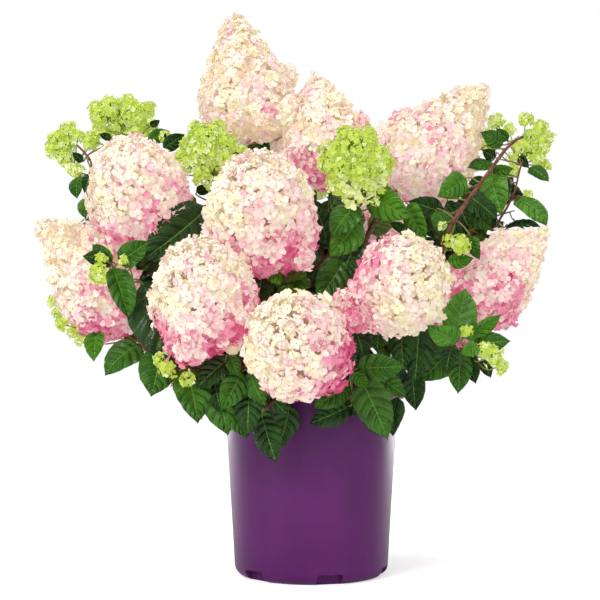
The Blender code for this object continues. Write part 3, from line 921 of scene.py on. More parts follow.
HEADS = (
    Head("panicle_top", (-0.103, 0.065, 0.735), -90, 82, 0.208, 0.155, Blush(0.06, 0.12, 0.0, tan=0.32)),
    Head("panicle_top_middle", (0.018, -0.010, 0.639), -90, 81, 0.174, 0.138,
         Blush(0.08, 0.55, 0.10, tan=0.2)),
    Head("panicle_top_right", (0.194, 0.005, 0.631), 95, 50, 0.212, 0.155,
         Blush(0.05, 0.36, 0.20, LEFT_LOW, 0.30)),
    Head("panicle_left", (-0.235, -0.130, 0.531), -14, 46, 0.152, 0.140,
         Blush(0.05, 0.55, 0.42, RIGHT_LOW), True),
    Head("panicle_far_left", (-0.320, -0.050, 0.421), -80, 50, 0.200, 0.122,
         Blush(0.08, 0.62, 0.22, RIGHT_LOW, 0.25)),
    Head("panicle_middle", (-0.068, -0.165, 0.496), -10, 50, 0.166, 0.152,
         Blush(0.07, 0.80, 0.30, SIDES_LOW), True),
    Head("panicle_front_left", (-0.137, -0.230, 0.383), -14, 50, 0.144, 0.138,
         Blush(0.06, 0.95, 0.20, RIGHT_LOW), True),
    Head("panicle_front", (-0.020, -0.295, 0.316), -8, 18, 0.148, 0.130,
         Blush(0.01, 0.35, 1.00, RIGHT_SIDE), True),
    Head("panicle_front_right", (0.114, -0.225, 0.395), 14, 20, 0.134, 0.126,
         Blush(-0.02, 0.3, 0.95, LEFT_SIDE), True),
    Head("panicle_far_right", (0.274, -0.030, 0.430), 82, 44, 0.176, 0.128,
         Blush(0.12, 0.72, 0.20, LEFT_LOW)),
    Head("panicle_back_right_low", (0.225, 0.175, 0.365), 128, 30, 0.165, 0.135, Blush(0.15, 0.60, 0.20)),
    Head("panicle_back_right_high", (0.115, 0.205, 0.530), 152, 52, 0.170, 0.138, Blush(0.05, 0.50, 0.20)),
    Head("panicle_back_low", (0.000, 0.260, 0.350), 178, 26, 0.165, 0.135, Blush(0.15, 0.60, 0.20)),
    Head("panicle_back_left_high", (-0.130, 0.195, 0.505), 214, 50, 0.170, 0.140, Blush(0.05, 0.50, 0.20)),
    Head("panicle_back_left_low", (-0.235, 0.170, 0.350), 236, 30, 0.165, 0.132, Blush(0.15, 0.60, 0.20)),
    Head("young_panicle_left_high", (-0.279, 0.020, 0.660), -60, 75, 0.060, 0.094),
    Head("young_panicle_far_left", (-0.358, 0.000, 0.612), -80, 65, 0.085, 0.064),
    Head("young_panicle_middle_left", (-0.141, -0.080, 0.590), -20, 65, 0.092, 0.106),
    Head("young_panicle_middle", (0.058, -0.150, 0.557), 4, 55, 0.100, 0.106),
    Head("young_panicle_right", (0.322, 0.020, 0.624), 75, 62, 0.090, 0.090),
    Head("young_panicle_back", (0.010, 0.135, 0.610), 175, 65, 0.085, 0.095),
)
HEAD_OF = {head.name: head for head in HEADS}


def tuft(x: float, y: float, depth: float, width: float, pink: float, low: float, tan: float = 0.0) -> Head:
    """A small loose bunch of florets beside a cone, where the picture shows one.

    Args:
        x: Pixels from the picture's left side.
        y: Pixels from its top.
        depth: Its own Y, in metres.
        width: Its width, in metres.
        pink: How pink it is all over.
        low: How much pinker its foot is.
        tan: Share of its pale florets that are tan.

    Returns:
        The bunch, pointing at the camera's side.
    """
    blush = Blush(pink, low, 0.0, tan=tan)
    return Head(f"tuft_{x}_{y}", tuple(VIEW.at(x, y, depth)), 0, 15, width * 0.9, width, blush)


TUFTS = tuple(tuft(*row) for row in (
    (350, 300, -0.205, 0.044, 0.45, 0.20), (357, 318, -0.205, 0.034, 0.62, 0.20),
    (476, 309, -0.060, 0.030, 0.75, 0.20), (507, 317, -0.050, 0.032, 0.62, 0.20),
    (238, 334, -0.215, 0.038, 0.34, 0.20, 0.5), (226, 333, -0.215, 0.032, 0.20, 0.20, 0.6),
    (246, 320, -0.200, 0.030, 0.30, 0.20, 0.7), (232, 346, -0.215, 0.020, 0.05, 0.00, 0.5),
    (188, 344, -0.250, 0.052, 0.42, 0.40), (174, 338, -0.240, 0.036, 0.66, 0.20),
    (198, 348, -0.235, 0.034, 0.45, 0.20), (366, 290, -0.215, 0.044, 0.48, 0.20),
    (303, 258, -0.190, 0.034, 0.45, 0.20), (138, 281, -0.090, 0.030, 0.45, 0.20, 0.5),
    # The broad shoulders of the left head, and the florets between it and the far left one
    (108, 158, -0.130, 0.044, 0.04, 0.00), (104, 182, -0.130, 0.038, 0.16, 0.10),
    (150, 158, -0.120, 0.042, 0.04, 0.00), (175, 188, -0.125, 0.040, 0.45, 0.20),
    (152, 228, -0.150, 0.034, 0.50, 0.20), (136, 230, -0.150, 0.030, 0.55, 0.20),
    (70, 233, -0.070, 0.048, 0.02, 0.00, 0.5), (92, 236, -0.080, 0.052, 0.22, 0.10, 0.5),
    (108, 247, -0.085, 0.050, 0.36, 0.20, 0.5),
    # The fuller sides of the upper heads
    (292, 106, -0.010, 0.044, 0.05, 0.00), (358, 122, -0.010, 0.040, 0.35, 0.10),
    (404, 118, 0.000, 0.040, 0.30, 0.10), (284, 74, 0.060, 0.044, 0.02, 0.00, 0.4),
    # The mostly tan tufts at (276, 138), (240, 122) and (262, 128) are painted shade at the top head's foot.
    (276, 138, 0.040, 0.046, 0.20, 0.00, 0.7), (240, 122, 0.000, 0.048, 0.08, 0.00, 0.8),
    (262, 128, 0.000, 0.044, 0.10, 0.00, 0.9), (503, 240, -0.060, 0.044, 0.12, 0.10),
    (528, 240, -0.050, 0.042, 0.05, 0.00), (54, 232, -0.060, 0.044, 0.00, 0.00, 0.4),
))


class SepalSheet:
    """The mesh of one sepal: a cupped, slightly rolled round blade with a narrow foot."""

    COLUMNS = np.array((-1.0, 0.0, 1.0))
    FINE = np.array(((0.03, 0.08), (0.34, 0.41), (0.70, 0.47), (0.99, 0.10)))
    PLAIN = np.array(((0.04, 0.10), (0.52, 0.48), (0.97, 0.16)))

    def __init__(self, fine: bool = True) -> None:
        """Chooses the fine sheet of six quads or the plain one of four."""
        self.rows, self.half_widths = (self.FINE if fine else self.PLAIN).T
        self.faces = Faces.grid(len(self.rows), 3)

    def points(self, centres: Array, outs: Array, faces: Array, shapes: Array) -> Array:
        """The points of every sepal.

        Args:
            centres: Where each leaves its floret's middle.
            outs: The way each points.
            faces: The way its floret faces.
            shapes: Length, width share, rise, curl, cup and roll of each.

        Returns:
            The points, sepal by sepal.
        """
        length, width, rise, curl, cup, roll = (shapes[:, k, None, None] for k in range(6))
        u = self.rows[None, :, None]
        v = self.COLUMNS[None, None, :]
        half = self.half_widths[None, :, None] * width
        along = length * (u + 0.0 * v)
        beside = length * half * v
        up = length * (rise * u - curl * u**2 + cup * half * v**2 + roll * half * v * u)
        sides = np.cross(faces, outs)
        grid = (
            centres[:, None, None, :]
            + along[..., None] * outs[:, None, None, :]
            + beside[..., None] * sides[:, None, None, :]
            + up[..., None] * faces[:, None, None, :]
        )
        return grid.reshape(len(centres), -1, 3)


@dataclass(frozen=True)
class SepalShape:
    """The ranges that sepals' shapes are drawn from: shares of the floret's radius or of their length."""

    length: tuple[float, float] = (0.82, 1.15)
    width: tuple[float, float] = (0.82, 1.08)
    rise: tuple[float, float] = (0.05, 0.70)
    curl: tuple[float, float] = (0.05, 0.60)
    cup: tuple[float, float] = (0.00, 0.70)
    roll: float = 0.40

    def draw(self, sizes: Array, chance: Chance) -> Array:
        """Draws the length, width share, rise, curl, cup and roll of one sepal for each floret's radius."""
        count = len(sizes)
        low, high = self.width
        length = sizes * chance.uniform(*self.length, count)
        width = np.full(count, low) if low == high else chance.uniform(low, high, count)
        bends = [chance.uniform(*limits, count) for limits in (self.rise, self.curl, self.cup)]
        return np.stack((length, width, *bends, chance.normal(0.0, self.roll, count)), axis=1)


class Sepals:
    """Sepals of one kind of sheet, gathered tone by tone into meshes."""

    def __init__(self, tones: Sequence[Tone]) -> None:
        """No sepals yet, in any of the tones."""
        self.tones = tuple(tones)
        self.batches = {tone: Batch() for tone in tones}

    def add(
        self, sheet: SepalSheet, centres: Array, outs: Array, faces: Array, shapes: Array,
        tones: Array,
    ) -> None:
        """Adds sepals.

        Args:
            sheet: The sheet that they are made of.
            centres: Where each leaves its floret's middle.
            outs: The way each points.
            faces: The way its floret faces.
            shapes: Length, width share, rise, curl, cup and roll of each.
            tones: Number of each one's tone in the tone list.
        """
        points = sheet.points(centres, outs, faces, shapes)
        for number, tone in enumerate(self.tones):
            self.batches[tone].add(points[tones == number], sheet.faces)

    def place(self, nodes: Sequence[str]) -> None:
        """Makes a piece of each tone, standing for the given solids."""
        for tone, batch in self.batches.items():
            name = f"sepals_{tone.name.lower()}"
            place_piece(name, batch, tone.value, nodes)


@dataclass
class FlowerCones:
    """The open flower cones: two layers of four-sepalled florets on fine stalks."""

    floret_radius: float = 0.0094
    floret_spread: float = 0.20
    crowding: float = 3.9
    # The inner layer's florets are pinker and more often tan: painted shade in the creases between the outer
    # florets.
    inner_shade_tan: float = 0.28
    inner_shade_pink: float = 0.06
    patch: float = 0.15
    pink_spread: float = 0.14
    tone_spread: float = 0.09
    tilt: float = 0.28
    lump: float = 0.06
    inset: float = 0.002
    stalk_radii: tuple[float, float] = (0.0008, 0.0004)
    middle_radii: tuple[float, float] = (0.0026, 0.0008)
    eye_radius: float = 0.0009
    shape: SepalShape = SepalShape()
    seed: int = 5
    sepals: Sepals = field(default_factory=lambda: Sepals((*OPEN_TONES, Tone.TAN)))
    stalks: Batch = field(default_factory=Batch)
    eyes: Batch = field(default_factory=Batch)

    def spots(self, head: Head, chance: Chance) -> tuple[Array, Array]:
        """Even places over a head's skin.

        Args:
            head: The head.
            chance: The source of chance.

        Returns:
            Share of the head's length and angle round it, for each place.
        """
        shares = np.linspace(0.0, 1.0, 200)
        radii = head.radius(shares)
        slant = np.hypot(np.diff(shares) * head.length, np.diff(radii))
        area = np.concatenate(((0.0,), np.cumsum(math.tau * (radii[1:] + radii[:-1]) / 2 * slant)))
        count = int(self.crowding * area[-1] / (math.pi * self.floret_radius**2))
        even = (np.arange(count) + chance.uniform(0.2, 0.8, count)) / count
        share = np.interp(even * area[-1], area, shares)
        return share, np.arange(count) * GOLDEN + chance.uniform(-0.10, 0.10, count)

    def pinkness(self, head: Head, share: Array, spokes: Array, chance: Chance) -> Array:
        """How pink each floret of a head is."""
        blush = head.blush
        towards = unit(np.array(blush.towards))
        low = blush.low * np.clip(1.0 - share * 1.7, 0.0, 1.0)
        side = blush.side * np.clip(spokes @ towards, 0.0, 1.0) * np.clip(1.15 - share, 0.0, 1.0)
        patches = self.patch * np.sin(spokes @ np.array((5.0, 3.0, 4.0)) + share * 9.0)
        return blush.all_over + low + side + patches + chance.normal(0.0, self.pink_spread, len(share))

    def grow(self, head: Head, chance: Chance) -> None:
        """Grows one cone's florets."""
        share, angle = self.spots(head, chance)
        count = len(share)
        inner = np.arange(count) % 2 == 1
        first, second = frames_of(head.axis[None, :])
        spokes = spokes_at(angle, first, second)
        lumps = self.lump * (np.sin(3 * angle + share * 11.0) + np.sin(5 * angle - share * 7.0)) / 2
        depth = np.where(inner, chance.uniform(0.006, 0.015, count), chance.uniform(0.000, 0.006, count))
        radius = np.maximum(head.radius(share) * (1.0 + lumps) - depth - self.inset, 0.001)
        steep = (head.radius(share + 0.02) - head.radius(share - 0.02)) / (0.04 * head.length)
        along = share * head.length - np.where(share > 0.9, depth, 0.0)
        places = head.base + along[:, None] * head.axis + radius[:, None] * spokes
        faces = unit(spokes - np.clip(steep, -2.5, 2.5)[:, None] * head.axis)
        faces = unit(faces + chance.normal(0.0, self.tilt, (count, 3)))
        size = self.floret_radius * (1.0 + chance.uniform(-self.floret_spread, self.floret_spread, count))
        size *= np.interp(share, (0.0, 0.75, 1.0), (1.0, 0.92, 0.55))
        # Painted shade: inner florets are made pinker and more often tan, darkening the creases.
        pink = self.pinkness(head, share, spokes, chance) + np.where(inner, self.inner_shade_pink, 0.0)
        tan_share = np.where(inner, self.inner_shade_tan, head.blush.tan) * np.clip(1.2 - pink * 2, 0.0, 1.0)
        tan = chance.uniform(size=count) < tan_share
        for layer, sheet in ((~inner, SepalSheet()), (inner, SepalSheet(fine=False))):
            self.draw(sheet, places[layer], faces[layer], size[layer], pink[layer], tan[layer], chance)
        roots = head.base + (along * 0.72)[:, None] * head.axis + (radius * 0.35)[:, None] * spokes
        outer = ~inner
        self.stalks.add(stick_points(roots[outer], (places - faces * 0.001)[outer], *self.stalk_radii), STICK)
        eyes = bud_points(places + faces * 0.0008, faces, np.full(count, self.eye_radius))
        self.eyes.add(eyes[outer], PYRAMID)
        middle = np.linspace(0.0, 0.86, 5)[:, None] * head.length * head.axis + head.base
        self.stalks.add(ring_points(middle, np.linspace(*self.middle_radii, 5), 5), Faces.tube(5, 5))

    def draw(
        self, sheet: SepalSheet, places: Array, faces: Array, size: Array, pink: Array,
        tan: Array, chance: Chance,
    ) -> None:
        """Adds the four sepals of each floret.

        Args:
            sheet: The sheet that they are made of.
            places: The florets' middles.
            faces: The way each faces.
            size: Radius of each.
            pink: How pink each is.
            tan: Which ones are tan rather than ivory.
            chance: The source of chance.
        """
        count = len(places)
        first, second = frames_of(faces)
        spin = chance.uniform(0.0, math.tau, count)
        for quarter in range(4):
            angle = spin + quarter * math.pi / 2 + chance.normal(0.0, 0.12, count)
            outs = spokes_at(angle, first, second)
            lower = quarter % 2
            shapes = self.shape.draw(size, chance)
            tones = np.digitize(pink + chance.normal(0.0, self.tone_spread, count), OPEN_LIMITS)
            tones = np.where(tan & (tones < PALE_TONES), len(OPEN_TONES), tones)
            self.sepals.add(sheet, places - faces * (0.0006 * lower), outs, faces, shapes, tones)

    def build(self) -> None:
        """Makes the cones' pieces."""
        chance = np.random.default_rng(self.seed)
        cones = [head for head in HEADS if head.blush]
        for head in (*cones, *TUFTS):
            self.grow(head, chance)
        nodes = [head.name for head in cones]
        self.sepals.place(nodes)
        stem = StemFinish("flower_stalk", "#E6DFB4", "#D2CC94", "#EFE8C4", 0.55)
        place_piece("floret_stalks", self.stalks, stem, nodes)
        place_piece("floret_eyes", self.eyes, Tone.OCHRE.value, nodes)


# Young heads


@dataclass(frozen=True)
class Lobe:
    """One rounded part of a young head.

    Its place and radius are in pixels, its step back from the head's middle is in metres, and opened runs
    from 0 for shut florets to 1.
    """

    x: float
    y: float
    radius: float
    step: float = 0.0
    opened: float = 0.0


# The lobes of each young head that the picture shows
LOBES = {
    f"young_panicle_{name}": tuple(Lobe(*row) for row in rows)
    for name, rows in {
        "left_high": (
            (103, 116, 13), (110, 105, 9), (95, 108, 6), (137, 117, 14), (128, 104, 9), (148, 110, 8),
            (119, 111, 9, 0.01), (150, 124, 6, 0.0, 0.3), (136, 130, 6, 0.0, 0.4), (99, 129, 6, 0.0, 0.3),
            (119, 125, 10, 0.01), (110, 133, 6, 0.01), (129, 134, 6, 0.01, 0.2), (143, 131, 7, 0.01, 0.2),
        ),
        "far_left": (
            (68, 130, 8), (57, 139, 8), (53, 150, 8), (67, 145, 9, 0.01), (66, 158, 8),
            (73, 169, 6, 0.0, 0.3),
            (90, 141, 8, -0.01), (99, 134, 5), (78, 136, 6),
        ),
        "middle_left": (
            (208, 137, 14), (190, 146, 11), (226, 143, 11), (240, 150, 6), (205, 155, 14, -0.015),
            (188, 164, 10, -0.01, 0.2), (222, 160, 10, -0.01, 0.2), (202, 175, 9, -0.01, 0.4),
            (213, 184, 6, 0.0, 0.5), (182, 157, 7), (196, 128, 7), (218, 128, 7), (181, 174, 6, 0.0, 0.5),
            (229, 173, 5, 0.0, 0.4),
        ),
        "middle": (
            (356, 148, 21), (334, 154, 14), (377, 158, 14), (340, 170, 14, -0.01), (362, 172, 16, -0.015),
            (381, 171, 9), (345, 135, 9), (368, 136, 9), (325, 165, 8), (389, 163, 6),
            (347, 187, 10, -0.01, 0.9), (365, 192, 9, -0.01, 0.9), (380, 184, 7, 0.0, 0.7),
            (334, 184, 7, 0.0, 0.8), (353, 199, 7, 0.0, 1.0),
        ),
        "right": (
            (496, 122, 8, 0.01), (488, 134, 5), (490, 147, 7, 0.01, 0.4), (526, 120, 7), (540, 128, 8),
            (531, 137, 8, 0.01), (520, 147, 8, 0.0, 0.2), (541, 147, 9), (537, 160, 8), (546, 165, 5),
            (509, 130, 6), (529, 153, 6), (513, 159, 5, 0.0, 0.4), (548, 138, 5),
        ),
    }.items()
}


@dataclass
class YoungHeads:
    """Lime heads that haven't opened: rounded lobes of small cupped florets and round buds."""

    floret_radius: float = 0.0042
    crowding: float = 1.50
    buds: float = 0.8
    lobe_radius: float = 0.0125
    lump: float = 0.16
    opening: float = 0.9
    pale: float = 0.25
    branch_radii: tuple[float, float] = (0.0014, 0.0009)
    stalk_radii: tuple[float, float] = (0.0005, 0.0003)
    seed: int = 7
    sheet: SepalSheet = field(default_factory=lambda: SepalSheet(fine=False))
    shape: SepalShape = SepalShape((0.85, 1.15), (0.95, 0.95), (0.30, 0.90), (0.10, 0.40), (0.20, 0.60), 0.2)
    sepals: Sepals = field(default_factory=lambda: Sepals((Tone.LIME, Tone.PALE_LIME)))
    beads: Batch = field(default_factory=Batch)
    stalks: Batch = field(default_factory=Batch)

    def lobe(self, root: Array, middle: Array, radius: float, opened: float, chance: Chance) -> None:
        """Grows one rounded lobe at the end of its branch.

        Args:
            root: Where its branch leaves the head's stalk.
            middle: The lobe's middle.
            radius: Its radius.
            opened: How far its florets have opened, from 0 to 1.
            chance: The source of chance.
        """
        axis = unit(middle - root)
        size_now = self.floret_radius * (1.0 + self.opening * opened)
        count = max(6, int(self.crowding * 4 * radius**2 / size_now**2))
        steps = (np.arange(count) + 0.5) / count
        angles = np.arange(count) * GOLDEN + chance.uniform(0.0, math.tau)
        heights = 1.0 - 1.7 * steps
        first, second = frames_of(axis[None, :])
        level = np.sqrt(1.0 - heights**2)
        ways = (
            heights[:, None] * axis
            + (level * np.cos(angles))[:, None] * first
            + (level * np.sin(angles))[:, None] * second
        )
        ways = unit(ways + chance.normal(0.0, 0.10, (count, 3)))
        waves = np.sin(ways @ chance.normal(0.0, 3.2, (3, 4)) + chance.uniform(0.0, 6.0, 4))
        knobs = self.lump * waves.mean(axis=1) * 2
        places = middle + ways * (radius * (chance.uniform(0.66, 0.98, count) + knobs))[:, None]
        faces = unit(ways + chance.normal(0.0, 0.22, (count, 3)))
        size = size_now * chance.uniform(0.75, 1.25, count)
        first, second = frames_of(faces)
        spin = chance.uniform(0.0, math.tau, count)
        pale = chance.uniform(size=count) < self.pale + 0.6 * opened
        for quarter in range(4):
            angle = spin + quarter * math.pi / 2
            outs = spokes_at(angle, first, second)
            shapes = self.shape.draw(size, chance)
            self.sepals.add(self.sheet, places, outs, faces, shapes, np.where(pale, 1, 0))
        eyes = chance.uniform(0.0007, 0.0012, count)
        self.beads.add(bud_points(places + faces * 0.0008, faces, eyes), PYRAMID)
        spare = max(4, int(self.buds * count * 0.5))
        ways = unit(chance.normal(size=(spare, 3)) + axis * 0.7)
        spots = middle + ways * (radius * chance.uniform(0.85, 1.10, spare))[:, None]
        self.beads.add(bud_points(spots, ways, chance.uniform(0.0009, 0.0016, spare)), OCTAHEDRON)
        heart = middle - axis * radius * 0.5
        self.stalks.add(stick_points(np.repeat(heart[None], spare, 0), spots, *self.stalk_radii), STICK)
        self.stalks.add(stick_points(root[None], heart[None], *self.branch_radii), STICK)

    def grow_seen(self, head: Head, chance: Chance) -> None:
        """Grows a young head from the lobes that the picture shows."""
        for part in LOBES[head.name]:
            depth = head.centre[1] + part.step
            middle = VIEW.at(part.x, part.y, depth)
            reach = max(0.0, float((middle - head.base) @ head.axis)) * 0.3
            radius = VIEW.metres(part.radius, depth)
            self.lobe(head.base + head.axis * reach, middle, radius, part.opened, chance)

    def grow_hidden(self, head: Head, chance: Chance) -> None:
        """Grows a young head that the picture doesn't show, with lobes all over its skin."""
        radius = self.lobe_radius
        count = int(head.width * head.length * 0.7 / radius**2)
        share = (np.arange(count) + 0.5) / count
        first, second = frames_of(head.axis[None, :])
        angles = np.arange(count) * GOLDEN + chance.uniform(-0.3, 0.3, count)
        for part, angle in zip(share, angles):
            spoke = (math.cos(angle) * first + math.sin(angle) * second)[0]
            reach = max(0.0, float(head.radius(part)) - radius * 0.8) * chance.uniform(0.8, 1.1)
            height = np.clip(part * head.length, radius * 0.6, head.length - radius * 0.8)
            middle = head.base + head.axis * height + spoke * reach
            opened = 0.4 if part < 0.2 else 0.0
            self.lobe(head.base + head.axis * height * 0.35, middle, radius, opened, chance)

    def build(self, sprigs: Sequence["Sprig"]) -> None:
        """Makes the young heads' pieces."""
        chance = np.random.default_rng(self.seed)
        young = [head for head in HEADS if not head.blush]
        for head in young:
            if head.name in LOBES:
                self.grow_seen(head, chance)
            else:
                self.grow_hidden(head, chance)
        for sprig in sprigs:
            self.lobe(sprig.root, sprig.place, sprig.radius, 0.1, chance)
        nodes = [head.name for head in young]
        self.sepals.place(nodes)
        bud = PetalFinish("bud_lime", "#D6E66E", "#BCD44E")
        place_piece("lime_buds", self.beads, bud, nodes)
        # The stalks' dull olive green is partly their own colour and partly painted shade, darkened so the
        # gaps between the lime florets read dark.
        stem = StemFinish("young_stalk", "#96AC44", "#7F9838", "#B4C46C", 0.5)
        place_piece("young_stalks", self.stalks, stem, nodes)


# Canes and twigs


@dataclass(frozen=True)
class Cane:
    """One cane: its way out of the crown and the heads it carries, the main one first."""

    name: str
    azimuth: float
    rise: float
    heads: tuple[str, ...]
    shoots: tuple[tuple[float, float, float], ...] = ()


CANES = (
    Cane("top", 10, 88, ("panicle_top_middle", "panicle_top"), ((0.04, 0.13, 0.48), (-0.09, 0.10, 0.50))),
    Cane("top_right", 105, 58, ("panicle_top_right",), ((0.19, 0.08, 0.47), (0.09, -0.06, 0.50))),
    Cane("right_high", 62, 45, ("young_panicle_right",), ((0.20, -0.12, 0.45), (0.30, -0.01, 0.54))),
    Cane("right", 84, 22, ("panicle_far_right",), ((0.22, -0.10, 0.31), (0.24, 0.06, 0.30))),
    Cane("front_right", 38, 22, ("panicle_front_right",), ((0.11, -0.18, 0.25), (0.21, -0.16, 0.30))),
    Cane("front", -3, 16, ("panicle_front",), ((-0.06, -0.20, 0.235), (0.06, -0.19, 0.24))),
    Cane("front_left", -42, 22, ("panicle_front_left",), ((-0.11, -0.19, 0.25), (-0.18, -0.18, 0.28))),
    Cane("left_low", -86, 22, ("panicle_far_left",), ((-0.24, -0.11, 0.30), (-0.275, -0.16, 0.41))),
    Cane("middle", -12, 58, ("panicle_middle", "young_panicle_middle", "young_panicle_middle_left")),
    Cane("left", -72, 56, ("panicle_left", "young_panicle_left_high", "young_panicle_far_left")),
    Cane("back_right", 132, 24, ("panicle_back_right_low", "panicle_back_right_high"),
         ((0.16, 0.17, 0.26), (0.22, 0.10, 0.46))),
    Cane("back", 182, 24, ("panicle_back_low", "young_panicle_back"),
         ((0.06, 0.20, 0.26), (-0.05, 0.21, 0.27))),
    Cane("back_left", 228, 24, ("panicle_back_left_low", "panicle_back_left_high"),
         ((-0.13, 0.19, 0.26), (-0.23, 0.07, 0.33))),
)


@dataclass(frozen=True)
class Sprig:
    """A small lime cluster at the end of a side twig."""

    place: Array
    radius: float
    root: Array


@dataclass(frozen=True)
class LeafPose:
    """How one leaf stands: its foot, the straight line to its tip and the way it faces."""

    root: Array
    chord: Array
    face: Array
    green: Green
    droop: float = 0.5
    fold: float = 0.25
    broad: float = 1.0


@dataclass(frozen=True)
class SeenLeaf:
    """A leaf placed by the photograph: foot and tip in pixels, and the Y of both in metres."""

    foot: tuple[float, float]
    tip: tuple[float, float]
    depths: tuple[float, float]
    green: Green
    roll: float = 0.0
    droop: float = 0.6
    fold: float = 0.25
    broad: float = 1.0

    def pose(self) -> LeafPose:
        """The leaf's pose, its face turned to the camera and then rolled about its length."""
        root = VIEW.at(*self.foot, self.depths[0])
        chord = VIEW.at(*self.tip, self.depths[1]) - root
        along = unit(chord)
        face = square_to(np.array(VIEW.place) - root, along)
        face = turned(face, along, math.radians(self.roll))
        return LeafPose(root, chord, face, self.green, self.droop, self.fold, self.broad)


D, M, F = Green.DEEP, Green.MID, Green.FRESH

